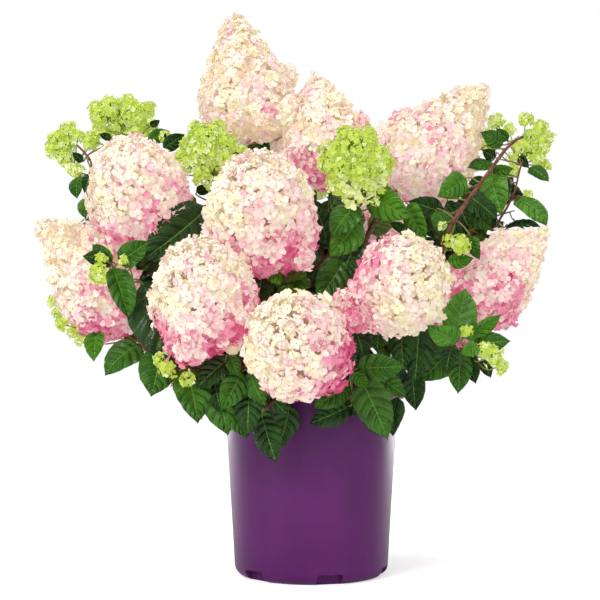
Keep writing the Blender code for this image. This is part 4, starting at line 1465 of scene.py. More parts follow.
# Each leaf's foot and tip in pixels, the Y of both in metres and its green, then its roll, droop, fold and
# breadth as far as they are its own
SEEN_LEAVES = tuple(SeenLeaf(row[0:2], row[2:4], row[4:6], *row[6:]) for row in (
    # Skirt at the front left, over the pot's rim
    (98, 330, 94, 362, -0.07, -0.09, F, 25, 0.7, 0.5),
    (141, 345, 105, 376, -0.10, -0.12, M, 35, 1.3, 0.3, 1.2),
    (162, 350, 151, 397, -0.17, -0.19, M, -5, 0.6, 0.3, 1.35),
    (143, 284, 180, 368, -0.17, -0.18, D, -10, 0.5, 0.3, 1.1),
    (186, 368, 198, 424, -0.19, -0.21, M, -15, 0.6, 0.4, 1.1), (230, 358, 196, 389, -0.20, -0.21, D, 25),
    (214, 380, 222, 414, -0.19, -0.20, D, 10), (242, 371, 221, 411, -0.20, -0.22, M, -10),
    (229, 355, 239, 377, -0.21, -0.22, M, 0), (213, 374, 228, 436, -0.18, -0.195, M, -10, 0.6, 0.3, 1.1),
    (250, 391, 248, 437, -0.19, -0.21, D, 15), (226, 400, 247, 439, -0.18, -0.195, M, -20),
    (262, 416, 276, 463, -0.17, -0.18, D, 5), (290, 402, 276, 452, -0.155, -0.165, D, -30),
    (259, 382, 289, 416, -0.18, -0.19, D, 25), (249, 370, 266, 407, -0.20, -0.21, M, 30),
    # Skirt at the front right
    (350, 385, 313, 409, -0.20, -0.21, M, 15), (350, 406, 309, 424, -0.16, -0.17, D, -10),
    (357, 368, 406, 366, -0.21, -0.23, M, 10, 0.4, 0.5), (353, 373, 369, 388, -0.22, -0.23, F, 0),
    (376, 376, 407, 397, -0.20, -0.21, M, -15), (361, 379, 388, 440, -0.21, -0.22, M, -10),
    (353, 397, 383, 437, -0.18, -0.19, D, 65), (397, 397, 393, 437, -0.19, -0.20, D, 35),
    (402, 326, 404, 372, -0.18, -0.19, D, 20), (419, 322, 415, 383, -0.17, -0.18, D, -5),
    (412, 370, 416, 411, -0.15, -0.16, D, 5), (379, 328, 377, 353, -0.19, -0.20, D, 0),
    (354, 326, 365, 363, -0.18, -0.19, D, -20),
    # Right side
    (455, 337, 466, 288, -0.20, -0.16, F, 5, 0.3), (459, 341, 427, 325, -0.21, -0.24, F, -25),
    (463, 338, 502, 314, -0.19, -0.20, F, 30, 0.4, 0.4, 0.7), (472, 345, 511, 341, -0.18, -0.20, M, -10),
    (478, 345, 461, 355, -0.22, -0.24, F, 0), (452, 346, 446, 373, -0.19, -0.20, D, 15),
    (457, 345, 421, 382, -0.15, -0.16, M, 10, 0.6, 0.3, 1.2), (461, 352, 458, 394, -0.17, -0.18, M, 0),
    (468, 352, 476, 384, -0.16, -0.17, D, 20), (482, 358, 491, 378, -0.15, -0.16, D, 0),
    # Upper right
    (367, 192, 412, 218, -0.12, -0.15, F, 15, 0.8), (360, 190, 389, 184, -0.12, -0.13, F, 10, 0.6),
    (356, 204, 331, 238, -0.13, -0.16, M, 20), (360, 218, 329, 258, -0.12, -0.15, F, -10),
    (357, 240, 336, 296, -0.12, -0.14, D, 15), (346, 258, 316, 303, -0.13, -0.16, M, -10),
    (466, 178, 437, 197, -0.05, -0.08, F, -10), (408, 204, 427, 241, -0.09, -0.11, F, 30, 0.8),
    (443, 213, 408, 201, -0.06, -0.07, D, 10, 0.8), (405, 230, 390, 223, -0.09, -0.10, D, 10),
    (436, 210, 454, 239, -0.08, -0.10, M, -10), (447, 201, 458, 219, -0.05, -0.06, D, 15),
    (458, 200, 469, 228, -0.04, -0.05, D, 10), (446, 222, 464, 240, -0.07, -0.08, D, -10),
    (486, 180, 468, 184, -0.02, -0.03, D, 20), (490, 174, 502, 215, -0.03, -0.06, F, 5, 0.8),
    (466, 194, 498, 220, -0.04, -0.06, D, -20), (470, 205, 492, 231, -0.02, -0.04, M, 10),
    (515, 200, 547, 227, -0.01, -0.03, F, -48, 1.5, 0.2, 1.1),
    (506, 228, 542, 228, -0.005, -0.015, D, -68, 1.3), (529, 168, 549, 182, 0.01, -0.01, M, -35, 1.1),
    (503, 145, 480, 132, -0.01, -0.03, M, 15, 0.7), (508, 141, 496, 128, 0.00, -0.01, M, 0),
    (494, 164, 467, 168, -0.01, -0.03, M, 40, 0.5), (490, 171, 514, 168, 0.00, -0.02, F, 30, 0.7),
    (496, 158, 482, 150, 0.00, -0.02, D, 0), (519, 156, 529, 168, 0.00, -0.01, D, 10),
    (470, 236, 480, 260, -0.10, -0.11, M, 25), (448, 262, 474, 258, -0.10, -0.12, F, 20),
    # Left side
    (119, 263, 150, 241, -0.19, -0.21, M, -10, 0.5, 0.5), (113, 262, 82, 256, -0.18, -0.20, D, 20),
    (112, 264, 92, 244, -0.18, -0.17, M, -20), (113, 268, 129, 320, -0.19, -0.20, M, -15, 0.5, 0.8, 0.85),
    (208, 208, 140, 262, -0.125, -0.150, D, -20, 0.4, 0.2, 1.0),
    (79, 177, 77, 199, -0.04, -0.05, M, 30, 1.1, 0.4, 1.1), (90, 174, 84, 193, -0.05, -0.06, D, -10),
    (94, 196, 88, 221, -0.07, -0.10, M, 35, 1.1, 0.4, 1.2), (83, 162, 72, 152, -0.03, -0.04, D, 10),
    (112, 139, 99, 134, 0.00, -0.01, D, 10), (148, 141, 170, 131, -0.01, -0.02, M, -15, 0.8),
    (150, 126, 160, 120, 0.01, 0.00, D, 10), (163, 149, 185, 134, -0.03, -0.04, D, -10),
    (196, 192, 213, 186, -0.06, -0.07, D, 10), (221, 165, 236, 157, -0.06, -0.08, M, 0),
    (264, 266, 257, 313, -0.13, -0.15, D, 10), (268, 262, 281, 286, -0.15, -0.17, F, 10),
    (258, 138, 270, 154, 0.02, 0.01, D, 0),
))

# Small lime clusters between the leaves: picture place, Y in metres and radius
SEEN_SPRIGS = (
    ((460, 245), -0.12, 0.0125), ((449, 241), -0.12, 0.0070), ((442, 226), -0.10, 0.0050),
    ((492, 356), -0.21, 0.0120), ((500, 366), -0.20, 0.0090), ((484, 349), -0.22, 0.0075),
    ((467, 331), -0.21, 0.0060), ((99, 275), -0.20, 0.0120), ((101, 259), -0.20, 0.0070),
    ((123, 261), -0.21, 0.0055), ((160, 360), -0.20, 0.0085), ((168, 369), -0.21, 0.0095),
    ((187, 379), -0.21, 0.0085), ((54, 301), -0.05, 0.0070), ((57, 313), -0.05, 0.0060),
    ((62, 324), -0.06, 0.0085), ((74, 332), -0.06, 0.0075), ((80, 341), -0.06, 0.0055),
    ((165, 137), -0.02, 0.0085), ((78, 172), -0.02, 0.0095), ((92, 141), -0.01, 0.0120),
    ((375, 202), -0.14, 0.0050), ((490, 145), 0.00, 0.0100), ((512, 170), 0.00, 0.0090),
    ((528, 195), 0.00, 0.0050),
)


@dataclass(frozen=True)
class SeenStem:
    """A bare stretch of stem in the picture: its points in pixels, its ends' depths and radii in metres."""

    points: tuple[tuple[float, float], ...]
    depths: tuple[float, float]
    radii: tuple[float, float]

    def line(self) -> Line:
        """The stem's middle."""
        steps = np.linspace(0.0, 1.0, 13)
        marks = np.linspace(0.0, 1.0, len(self.points))
        x, y = (np.interp(steps, marks, [point[axis] for point in self.points]) for axis in (0, 1))
        depths = np.interp(steps, (0.0, 1.0), self.depths)
        return Line(np.array([VIEW.at(*place) for place in zip(x, y, depths)]))


SEEN_STEMS = (
    SeenStem(((452, 224), (460, 212), (468, 200), (477, 188), (486, 176), (496, 162), (505, 150), (514, 141),
              (522, 137)),
             (-0.115, -0.010), (0.0032, 0.0020)),
    SeenStem(((494, 229), (500, 219), (505, 211), (510, 202), (514, 193), (517, 183), (519, 172), (523, 160)),
             (-0.03, -0.005), (0.0019, 0.0012)),
    SeenStem(((90, 160), (84, 152), (77, 145)), (-0.03, -0.01), (0.0018, 0.0013)),
)

# The plant's outline in the picture, from the upper left downwards. Leaves that grow by rule stay inside
OUTLINE = np.array((
    (46, 130), (44, 150), (53, 162), (64, 168), (64, 190), (75, 200), (84, 203), (82, 214), (72, 222),
    (38, 226),
    (44, 252), (52, 290), (58, 324), (74, 338), (85, 340), (93, 362), (99, 350), (104, 376), (112, 368),
    (126, 366),
    (140, 354), (139, 382), (151, 397), (157, 389), (178, 381), (183, 403), (198, 424), (208, 417),
    (222, 430),
    (247, 440), (276, 452), (300, 426), (350, 422), (388, 440), (397, 414), (394, 397), (404, 395),
    (416, 411),
    (423, 391), (421, 381), (433, 384), (443, 379), (458, 394), (467, 381), (475, 383), (483, 375),
    (490, 377),
    (507, 356), (511, 341), (500, 335), (487, 338), (502, 315), (520, 312), (534, 284), (549, 252),
    (548, 226),
    (544, 206), (532, 197), (531, 188), (544, 186), (549, 180), (548, 120), (480, 76), (330, 60),
    (236, 20), (196, 90),
    (110, 96),
), dtype=float)

# Gaps inside the outline that stay open, as the backdrop or a head shows there: both ends and half the
# width in pixels
SKY = (
    (98, 166, 98, 200, 6.0), (105, 200, 118, 203, 3.0), (421, 380, 434, 365, 4.0), (483, 316, 479, 329, 4.0),
    (468, 173, 475, 180, 4.5), (401, 224, 413, 231, 4.5), (511, 211, 535, 214, 7.0),
    (508, 207, 511, 222, 4.0),
    (522, 184, 528, 194, 5.0), (280, 151, 287, 156, 4.0), (205, 201, 210, 198, 3.0),
    (106, 343, 124, 332, 7.0),
)


class OpenView:
    """The parts of the picture that rule-grown leaves keep open: seen leaves, stems, clusters and gaps."""

    def __init__(self) -> None:
        """Gathers a strip for each thing that the picture shows."""
        strips = []
        for leaf in SEEN_LEAVES:
            foot, tip = np.array(leaf.foot), np.array(leaf.tip)
            half = np.linalg.norm(tip - foot) * 0.24 * abs(math.cos(math.radians(leaf.roll)))
            start, end = foot + (tip - foot) * 0.12, foot + (tip - foot) * 0.9
            strips.append((*start, *end, half, max(leaf.depths)))
        for stem in SEEN_STEMS:
            for start, end in zip(stem.points, stem.points[1:]):
                strips.append((*start, *end, 3.0, max(stem.depths)))
        for (x, y), depth, radius in SEEN_SPRIGS:
            strips.append((x, y, x, y, radius * VIEW.focal / (depth - VIEW.place[1]), depth))
        for name, lobes in LOBES.items():
            for lobe in lobes:
                strips.append((lobe.x, lobe.y, lobe.x, lobe.y, lobe.radius, HEAD_OF[name].centre[1]))
        strips.extend((*gap, math.inf) for gap in SKY)
        self.strips = np.array(strips)

    def inside(self, spots: Array) -> bool:
        """Whether all of the places lie within the plant's outline."""
        x, y = VIEW.pixel(spots).T[..., None]
        start_x, start_y = OUTLINE.T
        end_x, end_y = np.roll(OUTLINE, -1, axis=0).T
        crossed = (start_y > y) != (end_y > y)
        rise = np.where(start_y == end_y, 1.0, end_y - start_y)
        beyond = x < start_x + (y - start_y) * (end_x - start_x) / rise
        return bool(((crossed & beyond).sum(axis=1) % 2 == 1).all())

    def covered_by(self, spots: Array) -> bool:
        """Whether any of the places stands before something that the picture shows."""
        start, end = self.strips[:, 0:2], self.strips[:, 2:4]
        offset = VIEW.pixel(spots)[:, None, :] - start
        run = end - start
        share = np.clip(np.sum(offset * run, axis=-1) / np.maximum(np.sum(run**2, axis=-1), 1e-6), 0.0, 1.0)
        distance = np.linalg.norm(offset - share[..., None] * run, axis=-1)
        nearer = spots[:, None, 1] < self.strips[:, 5] + 0.004
        return bool(((distance < self.strips[:, 4]) & nearer).any())


OPEN_VIEW = OpenView()


class LeafSheet:
    """The mesh of one leaf: a toothed oval blade, quilted between its side veins."""

    ROWS = 15
    COLUMNS = np.array((-1.0, -0.64, -0.30, -0.024, 0.024, 0.30, 0.64, 1.0))
    OUTLINE = np.array(
        ((0.0, 0.03), (0.05, 0.20), (0.15, 0.40), (0.30, 0.50), (0.45, 0.495), (0.60, 0.44), (0.74, 0.335),
         (0.84, 0.215), (0.91, 0.11), (0.955, 0.04), (1.0, 0.0))
    )
    WIDTH = 0.58
    SLANT = 0.23
    QUILT = 0.010
    TOOTH = 0.014
    WAVE = 0.035
    EDGE_DROP = 0.16
    RIB_DROP = 0.006
    TWIST = 0.10
    BLADE = Faces.grid(ROWS, 8, (0, 1, 2, 4, 5, 6))
    RIB = Faces.grid(ROWS, 8, (3,))
    LEVELS = np.linspace(0.0, 1.0, ROWS)
    SPREAD = np.stack(np.meshgrid(LEVELS, COLUMNS, indexing="ij"), axis=-1).reshape(-1, 2)

    def points(self, poses: Sequence[LeafPose], chance: Chance) -> Array:
        """The points of every leaf.

        Args:
            poses: How each leaf stands.
            chance: The source of chance.

        Returns:
            The points, leaf by leaf.
        """
        count = len(poses)
        root = np.array([pose.root for pose in poses])
        chord = np.array([pose.chord for pose in poses])
        face = np.array([pose.face for pose in poses])
        traits = np.array([(pose.droop, pose.fold, pose.broad) for pose in poses])
        droop, fold, broad = (traits[:, k, None, None] for k in range(3))
        straight = unit(chord)
        half_bend = droop[:, :, 0] / 2
        out = straight * np.cos(half_bend) + face * np.sin(half_bend)
        up = face * np.cos(half_bend) - straight * np.sin(half_bend)
        bow = half_bend[:, :, None]
        length = np.linalg.norm(chord, axis=1)[:, None, None] * bow / np.sin(bow)
        rows = self.LEVELS[None, :, None]
        v = self.COLUMNS[None, None, :]
        u = rows + self.SLANT * np.abs(v) ** 1.25 * 4.0 * rows * (1.0 - rows)
        share = np.interp(u, self.OUTLINE[:, 0], self.OUTLINE[:, 1])
        odd = (np.arange(self.ROWS) % 2)[None, :, None]
        edge = (np.abs(v) > 0.9) * (2 * odd - 1) * self.TOOTH
        beside = length * broad * self.WIDTH * share * v * (1.0 + edge)
        quilt = self.QUILT * (2 * odd - 1) * np.sin(math.pi * np.abs(v) ** 0.8) * np.minimum(1.0, share * 3)
        phase = chance.uniform(0.0, math.tau, (count, 1, 1))
        wave = self.WAVE * np.sin(rows * 9.0 + phase + np.sign(v)) * v**2 * share * 2
        cup = fold * np.abs(v) * share * self.WIDTH - self.EDGE_DROP * v**4 * share
        height = length * (quilt + wave + cup)
        height = height - length * self.RIB_DROP * (np.abs(v) < 0.1)
        bend = droop * u
        along = length * np.sin(bend) / droop
        drop = -length * (1.0 - np.cos(bend)) / droop
        sides = np.cross(up, out)
        twist = chance.normal(0.0, self.TWIST, (count, 1, 1)) * rows
        height = height + beside * twist
        grid = (
            root[:, None, None, :]
            + (along + height * np.sin(bend))[..., None] * out[:, None, None, :]
            + (drop + height * np.cos(bend))[..., None] * up[:, None, None, :]
            + beside[..., None] * sides[:, None, None, :]
        )
        return grid.reshape(count, -1, 3)


@dataclass
class Shrub:
    """The woody crown, its canes and twigs, and every leaf on them."""

    # Turns round the twig, in degrees, and lifts along it that a leaf tries until it has room
    SWINGS = ((0, 0.35), (25, 0.25), (-25, 0.25), (50, 0.1), (-50, 0.1), (0, -0.3), (80, 0.2), (-80, 0.2))
    # Places of a leaf that are tested: share of its length, of its width, and of its sag
    PROBES = (
        (0.15, 0.3, 0.5), (0.15, -0.3, 0.5), (0.30, 0.0, 0.8), (0.30, 0.45, 0.8), (0.30, -0.45, 0.8),
        (0.50, 0.45, 1.0),
        (0.50, -0.45, 1.0), (0.50, 0.0, 1.0), (0.75, 0.26, 0.6), (0.75, -0.26, 0.6), (0.75, 0.0, 0.6),
        (1.0, 0.0, 0.0),
    )

    hub: tuple[float, float, float] = (0.0, 0.0, 0.258)
    stub_length: float = 0.046
    cane_radius: float = 0.0058
    twig_radius: float = 0.0030
    twig_tip_radius: float = 0.0020
    petiole_radius: float = 0.0010
    petiole: float = 0.010
    bough_share: float = 0.46
    first_fork: float = 0.15
    fork_step: float = 0.16
    node_spacing: float = 0.030
    knot_place: float = 0.006
    knot_length: float = 0.004
    knot_swell: float = 0.16
    bare_foot: float = 0.006
    bare_tip: float = 0.008
    leaf_length: float = 0.080
    leaf_lengths: tuple[float, float] = (0.8, 1.15)
    tip_leaf: float = 0.85
    droops: tuple[float, float] = (0.35, 1.1)
    folds: tuple[float, float] = (0.1, 0.45)
    sags: tuple[float, float] = (0.15, 0.5)
    leaf_outward: float = 0.35
    face_up: float = 0.55
    face_outward: float = 0.75
    face_spread: float = 0.15
    fresh_share: float = 0.5
    twiglet_lengths: tuple[float, float] = (0.035, 0.070)
    twig_runs: int = 12
    cane_runs: int = 24
    mark_step: float = 0.02
    head_gap: float = 0.002
    twig_gap: float = 0.004
    shoot_gap: float = 0.006
    view_steps: tuple[float, float] = (0.02, 0.30)
    deep_in_head: float = -0.012
    box_margin: float = 0.004
    pot_height: float = 0.258
    pot_reach: float = 0.144
    back_from: float = 0.06
    seed: int = 3
    lines: list[Line] = field(default_factory=list)
    poses: list[LeafPose] = field(default_factory=list)
    sprigs: list[Sprig] = field(default_factory=list)
    wood: Batch = field(default_factory=Batch)
    green_wood: Batch = field(default_factory=Batch)

    def limb(
        self, line: Line, thick: float, thin: float, sides: int, batch: Batch, knots: bool = False
    ) -> None:
        """Draws a tapering limb, swollen at its leaf nodes if wanted."""
        count = max(3, int(line.length / self.knot_place) + 1) if knots else max(3, len(line.places))
        marks = np.linspace(0.0, line.length, count)
        path = np.array([line.at(mark)[0] for mark in marks])
        radii = np.linspace(thick, thin, count)
        if knots:
            from_knot = (marks % self.node_spacing - self.knot_place) / self.knot_length
            radii = radii * (1.0 + self.knot_swell * np.exp(-(from_knot**2)))
        batch.add(ring_points(path, radii, sides), Faces.tube(count, sides))

    def cane_lines(self, cane: Cane) -> tuple[Line, list[Line]]:
        """A cane's main line from the crown to its main head, and its side lines."""
        out = aim(cane.azimuth, cane.rise)
        start = np.array(self.hub) + out * (self.stub_length + GAP)
        main_head = HEAD_OF[cane.heads[0]]
        way = bezier(start, out, main_head.foot, main_head.axis)
        main = Line.along(way, self.cane_runs)
        stem = Line.along(way, self.twig_runs, self.bough_share)
        sides = []
        mark = stem.length * self.first_fork
        for name in cane.heads[1:]:
            head = HEAD_OF[name]
            sides.append(self.side_line(stem, mark, head.foot, head.axis))
            mark += stem.length * self.fork_step
        for place in cane.shoots:
            end = np.array(place)
            aim_out = unit(unit(end - stem.at(mark)[0]) - UP * 0.25)
            line = self.side_line(stem, mark, end, aim_out)
            if not self.in_heads(line.places, self.shoot_gap).any():
                sides.append(line)
            mark += stem.length * self.fork_step
        return main, [stem, *sides]

    def side_line(self, main: Line, mark: float, end: Array, end_aim: Array) -> Line:
        """A side twig, which leaves the main stem at a slant."""
        start, along = main.at(mark)
        leave = unit(along * 0.55 + unit(end - start) * 0.80)
        return Line.along(bezier(start, leave, end, end_aim), self.twig_runs)

    def in_heads(self, places: Array, margin: float) -> Array:
        """Which places are in any flower head or within a margin of it."""
        return np.any([head.holds(places, margin) for head in HEADS], axis=0)

    def free(self, pose: LeafPose) -> bool:
        """Whether a leaf keeps out of the heads, the pot and their view, and inside the model's box."""
        along = unit(pose.chord)
        side = np.cross(pose.face, along)
        length = np.linalg.norm(pose.chord)
        sag = pose.face * (length * 0.10)
        spots = np.array([
            pose.root + pose.chord * share + side * (length * LeafSheet.WIDTH * width) + sag * lift
            for share, width, lift in self.PROBES
        ])
        low, high = (np.array(corner) for corner in CAD_BOX)
        if (spots < low - self.box_margin).any() or (spots > high + self.box_margin).any():
            return False
        level = np.hypot(spots[:, 0], spots[:, 1])
        if ((spots[:, 2] < self.pot_height) & (level < self.pot_reach)).any():
            return False
        if self.in_heads(spots, self.head_gap).any() or OPEN_VIEW.covered_by(spots):
            return False
        return OPEN_VIEW.inside(spots) and not self.hides(spots)

    def hides(self, spots: Array) -> bool:
        """Whether places stand before a head, seen from the camera or from their own side."""
        steps = np.arange(*self.view_steps, self.mark_step)
        ways = unit(spots - np.array(VIEW.place))
        if spots[:, 1].mean() >= self.back_from:
            ways = -unit(spots * LEVEL)
            steps = steps[:6]
        rays = spots[:, None, :] + ways[:, None, :] * steps[None, :, None]
        return bool(self.in_heads(rays, self.deep_in_head).any())

    def try_leaf(
        self, place: Array, along: Array, turn: float, chance: Chance, green: Green, scale: float
    ) -> None:
        """Adds one leaf at a node if there is room for it.

        Args:
            place: The node.
            along: Direction of the twig there.
            turn: Angle of the leaf round the twig, in radians.
            chance: The source of chance.
            green: The leaf's colour.
            scale: Size against a full leaf.
        """
        first = frames_of(along[None, :])[0][0]
        outward = outward_of(place)
        length = self.leaf_length * chance.uniform(*self.leaf_lengths) * scale
        droop = chance.uniform(*self.droops)
        fold = chance.uniform(*self.folds)
        for swing, lift in self.SWINGS:
            out = turned(first, along, turn + math.radians(swing))
            out = unit(out + along * lift)
            chord = unit(out + outward * self.leaf_outward - UP * chance.uniform(*self.sags))
            facing = UP * self.face_up + outward * self.face_outward + chance.normal(0.0, self.face_spread, 3)
            face = square_to(facing, chord)
            root = place + out * self.petiole
            pose = LeafPose(root, chord * length, face, green, droop, fold)
            if self.free(pose):
                self.poses.append(pose)
                self.petiole_to(place, along, root, chord)
                return

    def petiole_to(self, place: Array, along: Array, root: Array, chord: Array) -> None:
        """Draws the leaf stalk between a node and a leaf's foot."""
        leave = unit(along * 0.4 + unit(root - place))
        way = bezier(place, leave, root + unit(chord) * 0.002, unit(chord))
        self.limb(Line.along(way, 3), self.petiole_radius * 1.3, self.petiole_radius, 4, self.green_wood)

    def leafy(self, line: Line, chance: Chance, green: Green, scale: float = 1.0) -> None:
        """Sets opposite pairs of leaves along a twig, each pair turned across the last."""
        turn = chance.uniform(0.0, math.pi)
        count = max(1, int((line.length - self.bare_foot) / self.node_spacing))
        for step in range(count):
            place, along = line.at(line.length - self.bare_tip - step * self.node_spacing)
            tint = Green.FRESH if step == 0 and chance.uniform() < self.fresh_share else green
            size = scale * (self.tip_leaf if step == 0 else 1.0)
            for side in (0.0, math.pi):
                self.try_leaf(place, along, turn + side, chance, tint, size)
            turn += math.pi / 2

    def twiglets(self, line: Line, chance: Chance, green: Green) -> None:
        """Grows short side twigs with leaves of their own from a twig's nodes."""
        for mark in np.arange(self.mark_step, line.length - self.mark_step, self.node_spacing):
            place, along = line.at(mark)
            first = frames_of(along[None, :])[0][0]
            out = turned(first, along, chance.uniform(0.0, math.tau))
            outward = outward_of(place)
            leave = unit(out + along * 0.7 + outward * 0.4)
            reach = chance.uniform(*self.twiglet_lengths)
            end = place + unit(leave + outward * 0.3 + UP * 0.1) * reach
            twig = Line.along(bezier(place, leave, end, unit(outward + UP * 0.3)), 5)
            if self.in_heads(twig.places, self.twig_gap).any() or not OPEN_VIEW.inside(twig.places):
                continue
            before = len(self.poses)
            self.leafy(twig, chance, green, 0.9)
            if len(self.poses) > before:
                self.limb(twig, self.twig_tip_radius * 0.8, self.petiole_radius, 5, self.green_wood)

    def carry(self, root: Array, heading: Array, thick: float, batch: Batch) -> None:
        """Grows a twig from the nearest line to a place.

        Args:
            root: The place.
            heading: The twig's direction there.
            thick: Its radius there.
            batch: The batch that it is drawn in.
        """
        best = min(
            ((np.linalg.norm(line.at(mark)[0] - root + UP * 0.01), line, mark)
             for line in self.lines for mark in np.arange(0.01, line.length, self.mark_step)),
            key=lambda entry: entry[0],
        )
        start, along = best[1].at(best[2])
        leave = unit(along * 0.3 + unit(root - start))
        way = bezier(start, leave, root, unit(heading))
        self.limb(Line.along(way, 8), thick * 1.4, thick, 5, batch)

    def build_seen(self) -> None:
        """Places the stems, leaves and lime clusters that the photograph shows, each on a twig."""
        for stem in SEEN_STEMS:
            line = stem.line()
            heading = line.at(0.001)[1]
            self.carry(line.places[0] + heading * 0.001, heading, stem.radii[0] * 0.8, self.wood)
            self.limb(line, *stem.radii, 8, self.wood, knots=True)
            self.lines.append(line)
        for leaf in SEEN_LEAVES:
            pose = leaf.pose()
            self.poses.append(pose)
            heading = unit(pose.chord)
            self.carry(pose.root + heading * 0.002, heading, self.petiole_radius, self.green_wood)
        for (x, y), depth, radius in SEEN_SPRIGS:
            middle = VIEW.at(x, y, depth)
            outward = unit(middle * LEVEL + UP * 0.1)
            root = middle - outward * radius * 1.3
            self.carry(root, outward, self.petiole_radius * 0.9, self.green_wood)
            self.sprigs.append(Sprig(middle, radius, root))

    def build_crown(self) -> None:
        """The short root crown with its flare, which the canes leave."""
        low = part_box("root_crown")[0]
        heights = np.array((0.0, 0.0015, 0.006, 0.012, 0.020, 0.028, 0.034, 0.036)) + low.z
        radii = np.array((0.027, 0.0265, 0.0215, 0.0180, 0.0165, 0.0165, 0.0135, 0.004))
        path = np.column_stack((np.zeros(len(heights)), np.zeros(len(heights)), heights))
        sides = 28
        points = ring_points(path, np.ones(len(heights)), sides).reshape(len(heights), sides, 3)
        angles = np.arctan2(points[..., 1], points[..., 0])
        ridges = 1.0 + 0.10 * np.sin(5 * angles + heights[:, None] * 40) + 0.05 * np.sin(11 * angles)
        spokes = points - path[:, None, :]
        skin = path[:, None, :] + spokes * (radii[:, None] * ridges)[..., None]
        self.wood.add(skin, Faces.tube(len(heights), sides))

    def build(self) -> None:
        """Grows the whole shrub and makes its pieces."""
        chance = np.random.default_rng(self.seed)
        self.build_crown()
        hub = np.array(self.hub)
        for cane in CANES:
            main, side_lines = self.cane_lines(cane)
            whole = Line(np.concatenate((hub[None], main.places)))
            self.limb(whole, self.cane_radius * 1.15, self.twig_radius, 10, self.wood, knots=True)
            for line in side_lines[1:]:
                self.limb(line, self.twig_radius, self.twig_tip_radius, 7, self.wood, knots=True)
            self.lines.extend(side_lines)
        for head in HEADS:
            self.limb(Line(np.array([head.foot, head.base])), 0.0028, 0.0026, 6, self.wood)
        self.build_seen()
        greens = (Green.DEEP, Green.MID, Green.MID, Green.DEEP, Green.FRESH)
        for number, line in enumerate(self.lines):
            green = greens[number % len(greens)]
            self.leafy(line, chance, green)
            self.twiglets(line, chance, green)
        self.place_pieces(chance)

    def place_pieces(self, chance: Chance) -> None:
        """Makes the pieces of wood and leaves."""
        boughs = ["root_crown", *(f"bough_{cane.name}" for cane in CANES)]
        masses = [f"foliage_{cane.name}" for cane in CANES]
        bark = StemFinish("cane_bark", "#7C4638", "#572C22", "#9C7460")
        skin = StemFinish("green_stem", "#7E8E3C", "#7C553A", "#9AA860", 0.5)
        place_piece("canes", self.wood, bark, boughs)
        place_piece("leaf_stalks", self.green_wood, skin, masses)
        sheet = LeafSheet()
        rib = LeafFinish("leaf_rib", "#6B9C42", "#588A34", "#8CAE60", "#6B9C42")
        ribs = Batch()
        for green in Green:
            poses = [pose for pose in self.poses if pose.green is green]
            points = sheet.points(poses, chance)
            blades = Batch()
            blades.add(points, sheet.BLADE, sheet.SPREAD)
            ribs.add(points, sheet.RIB)
            name = f"leaves_{green.name.lower()}"
            place_piece(name, blades, green.value, masses)
            log.info("%s: %d leaves", name, len(poses))
        place_piece("leaf_ribs", ribs, rib, masses)


# Pot and potting mix


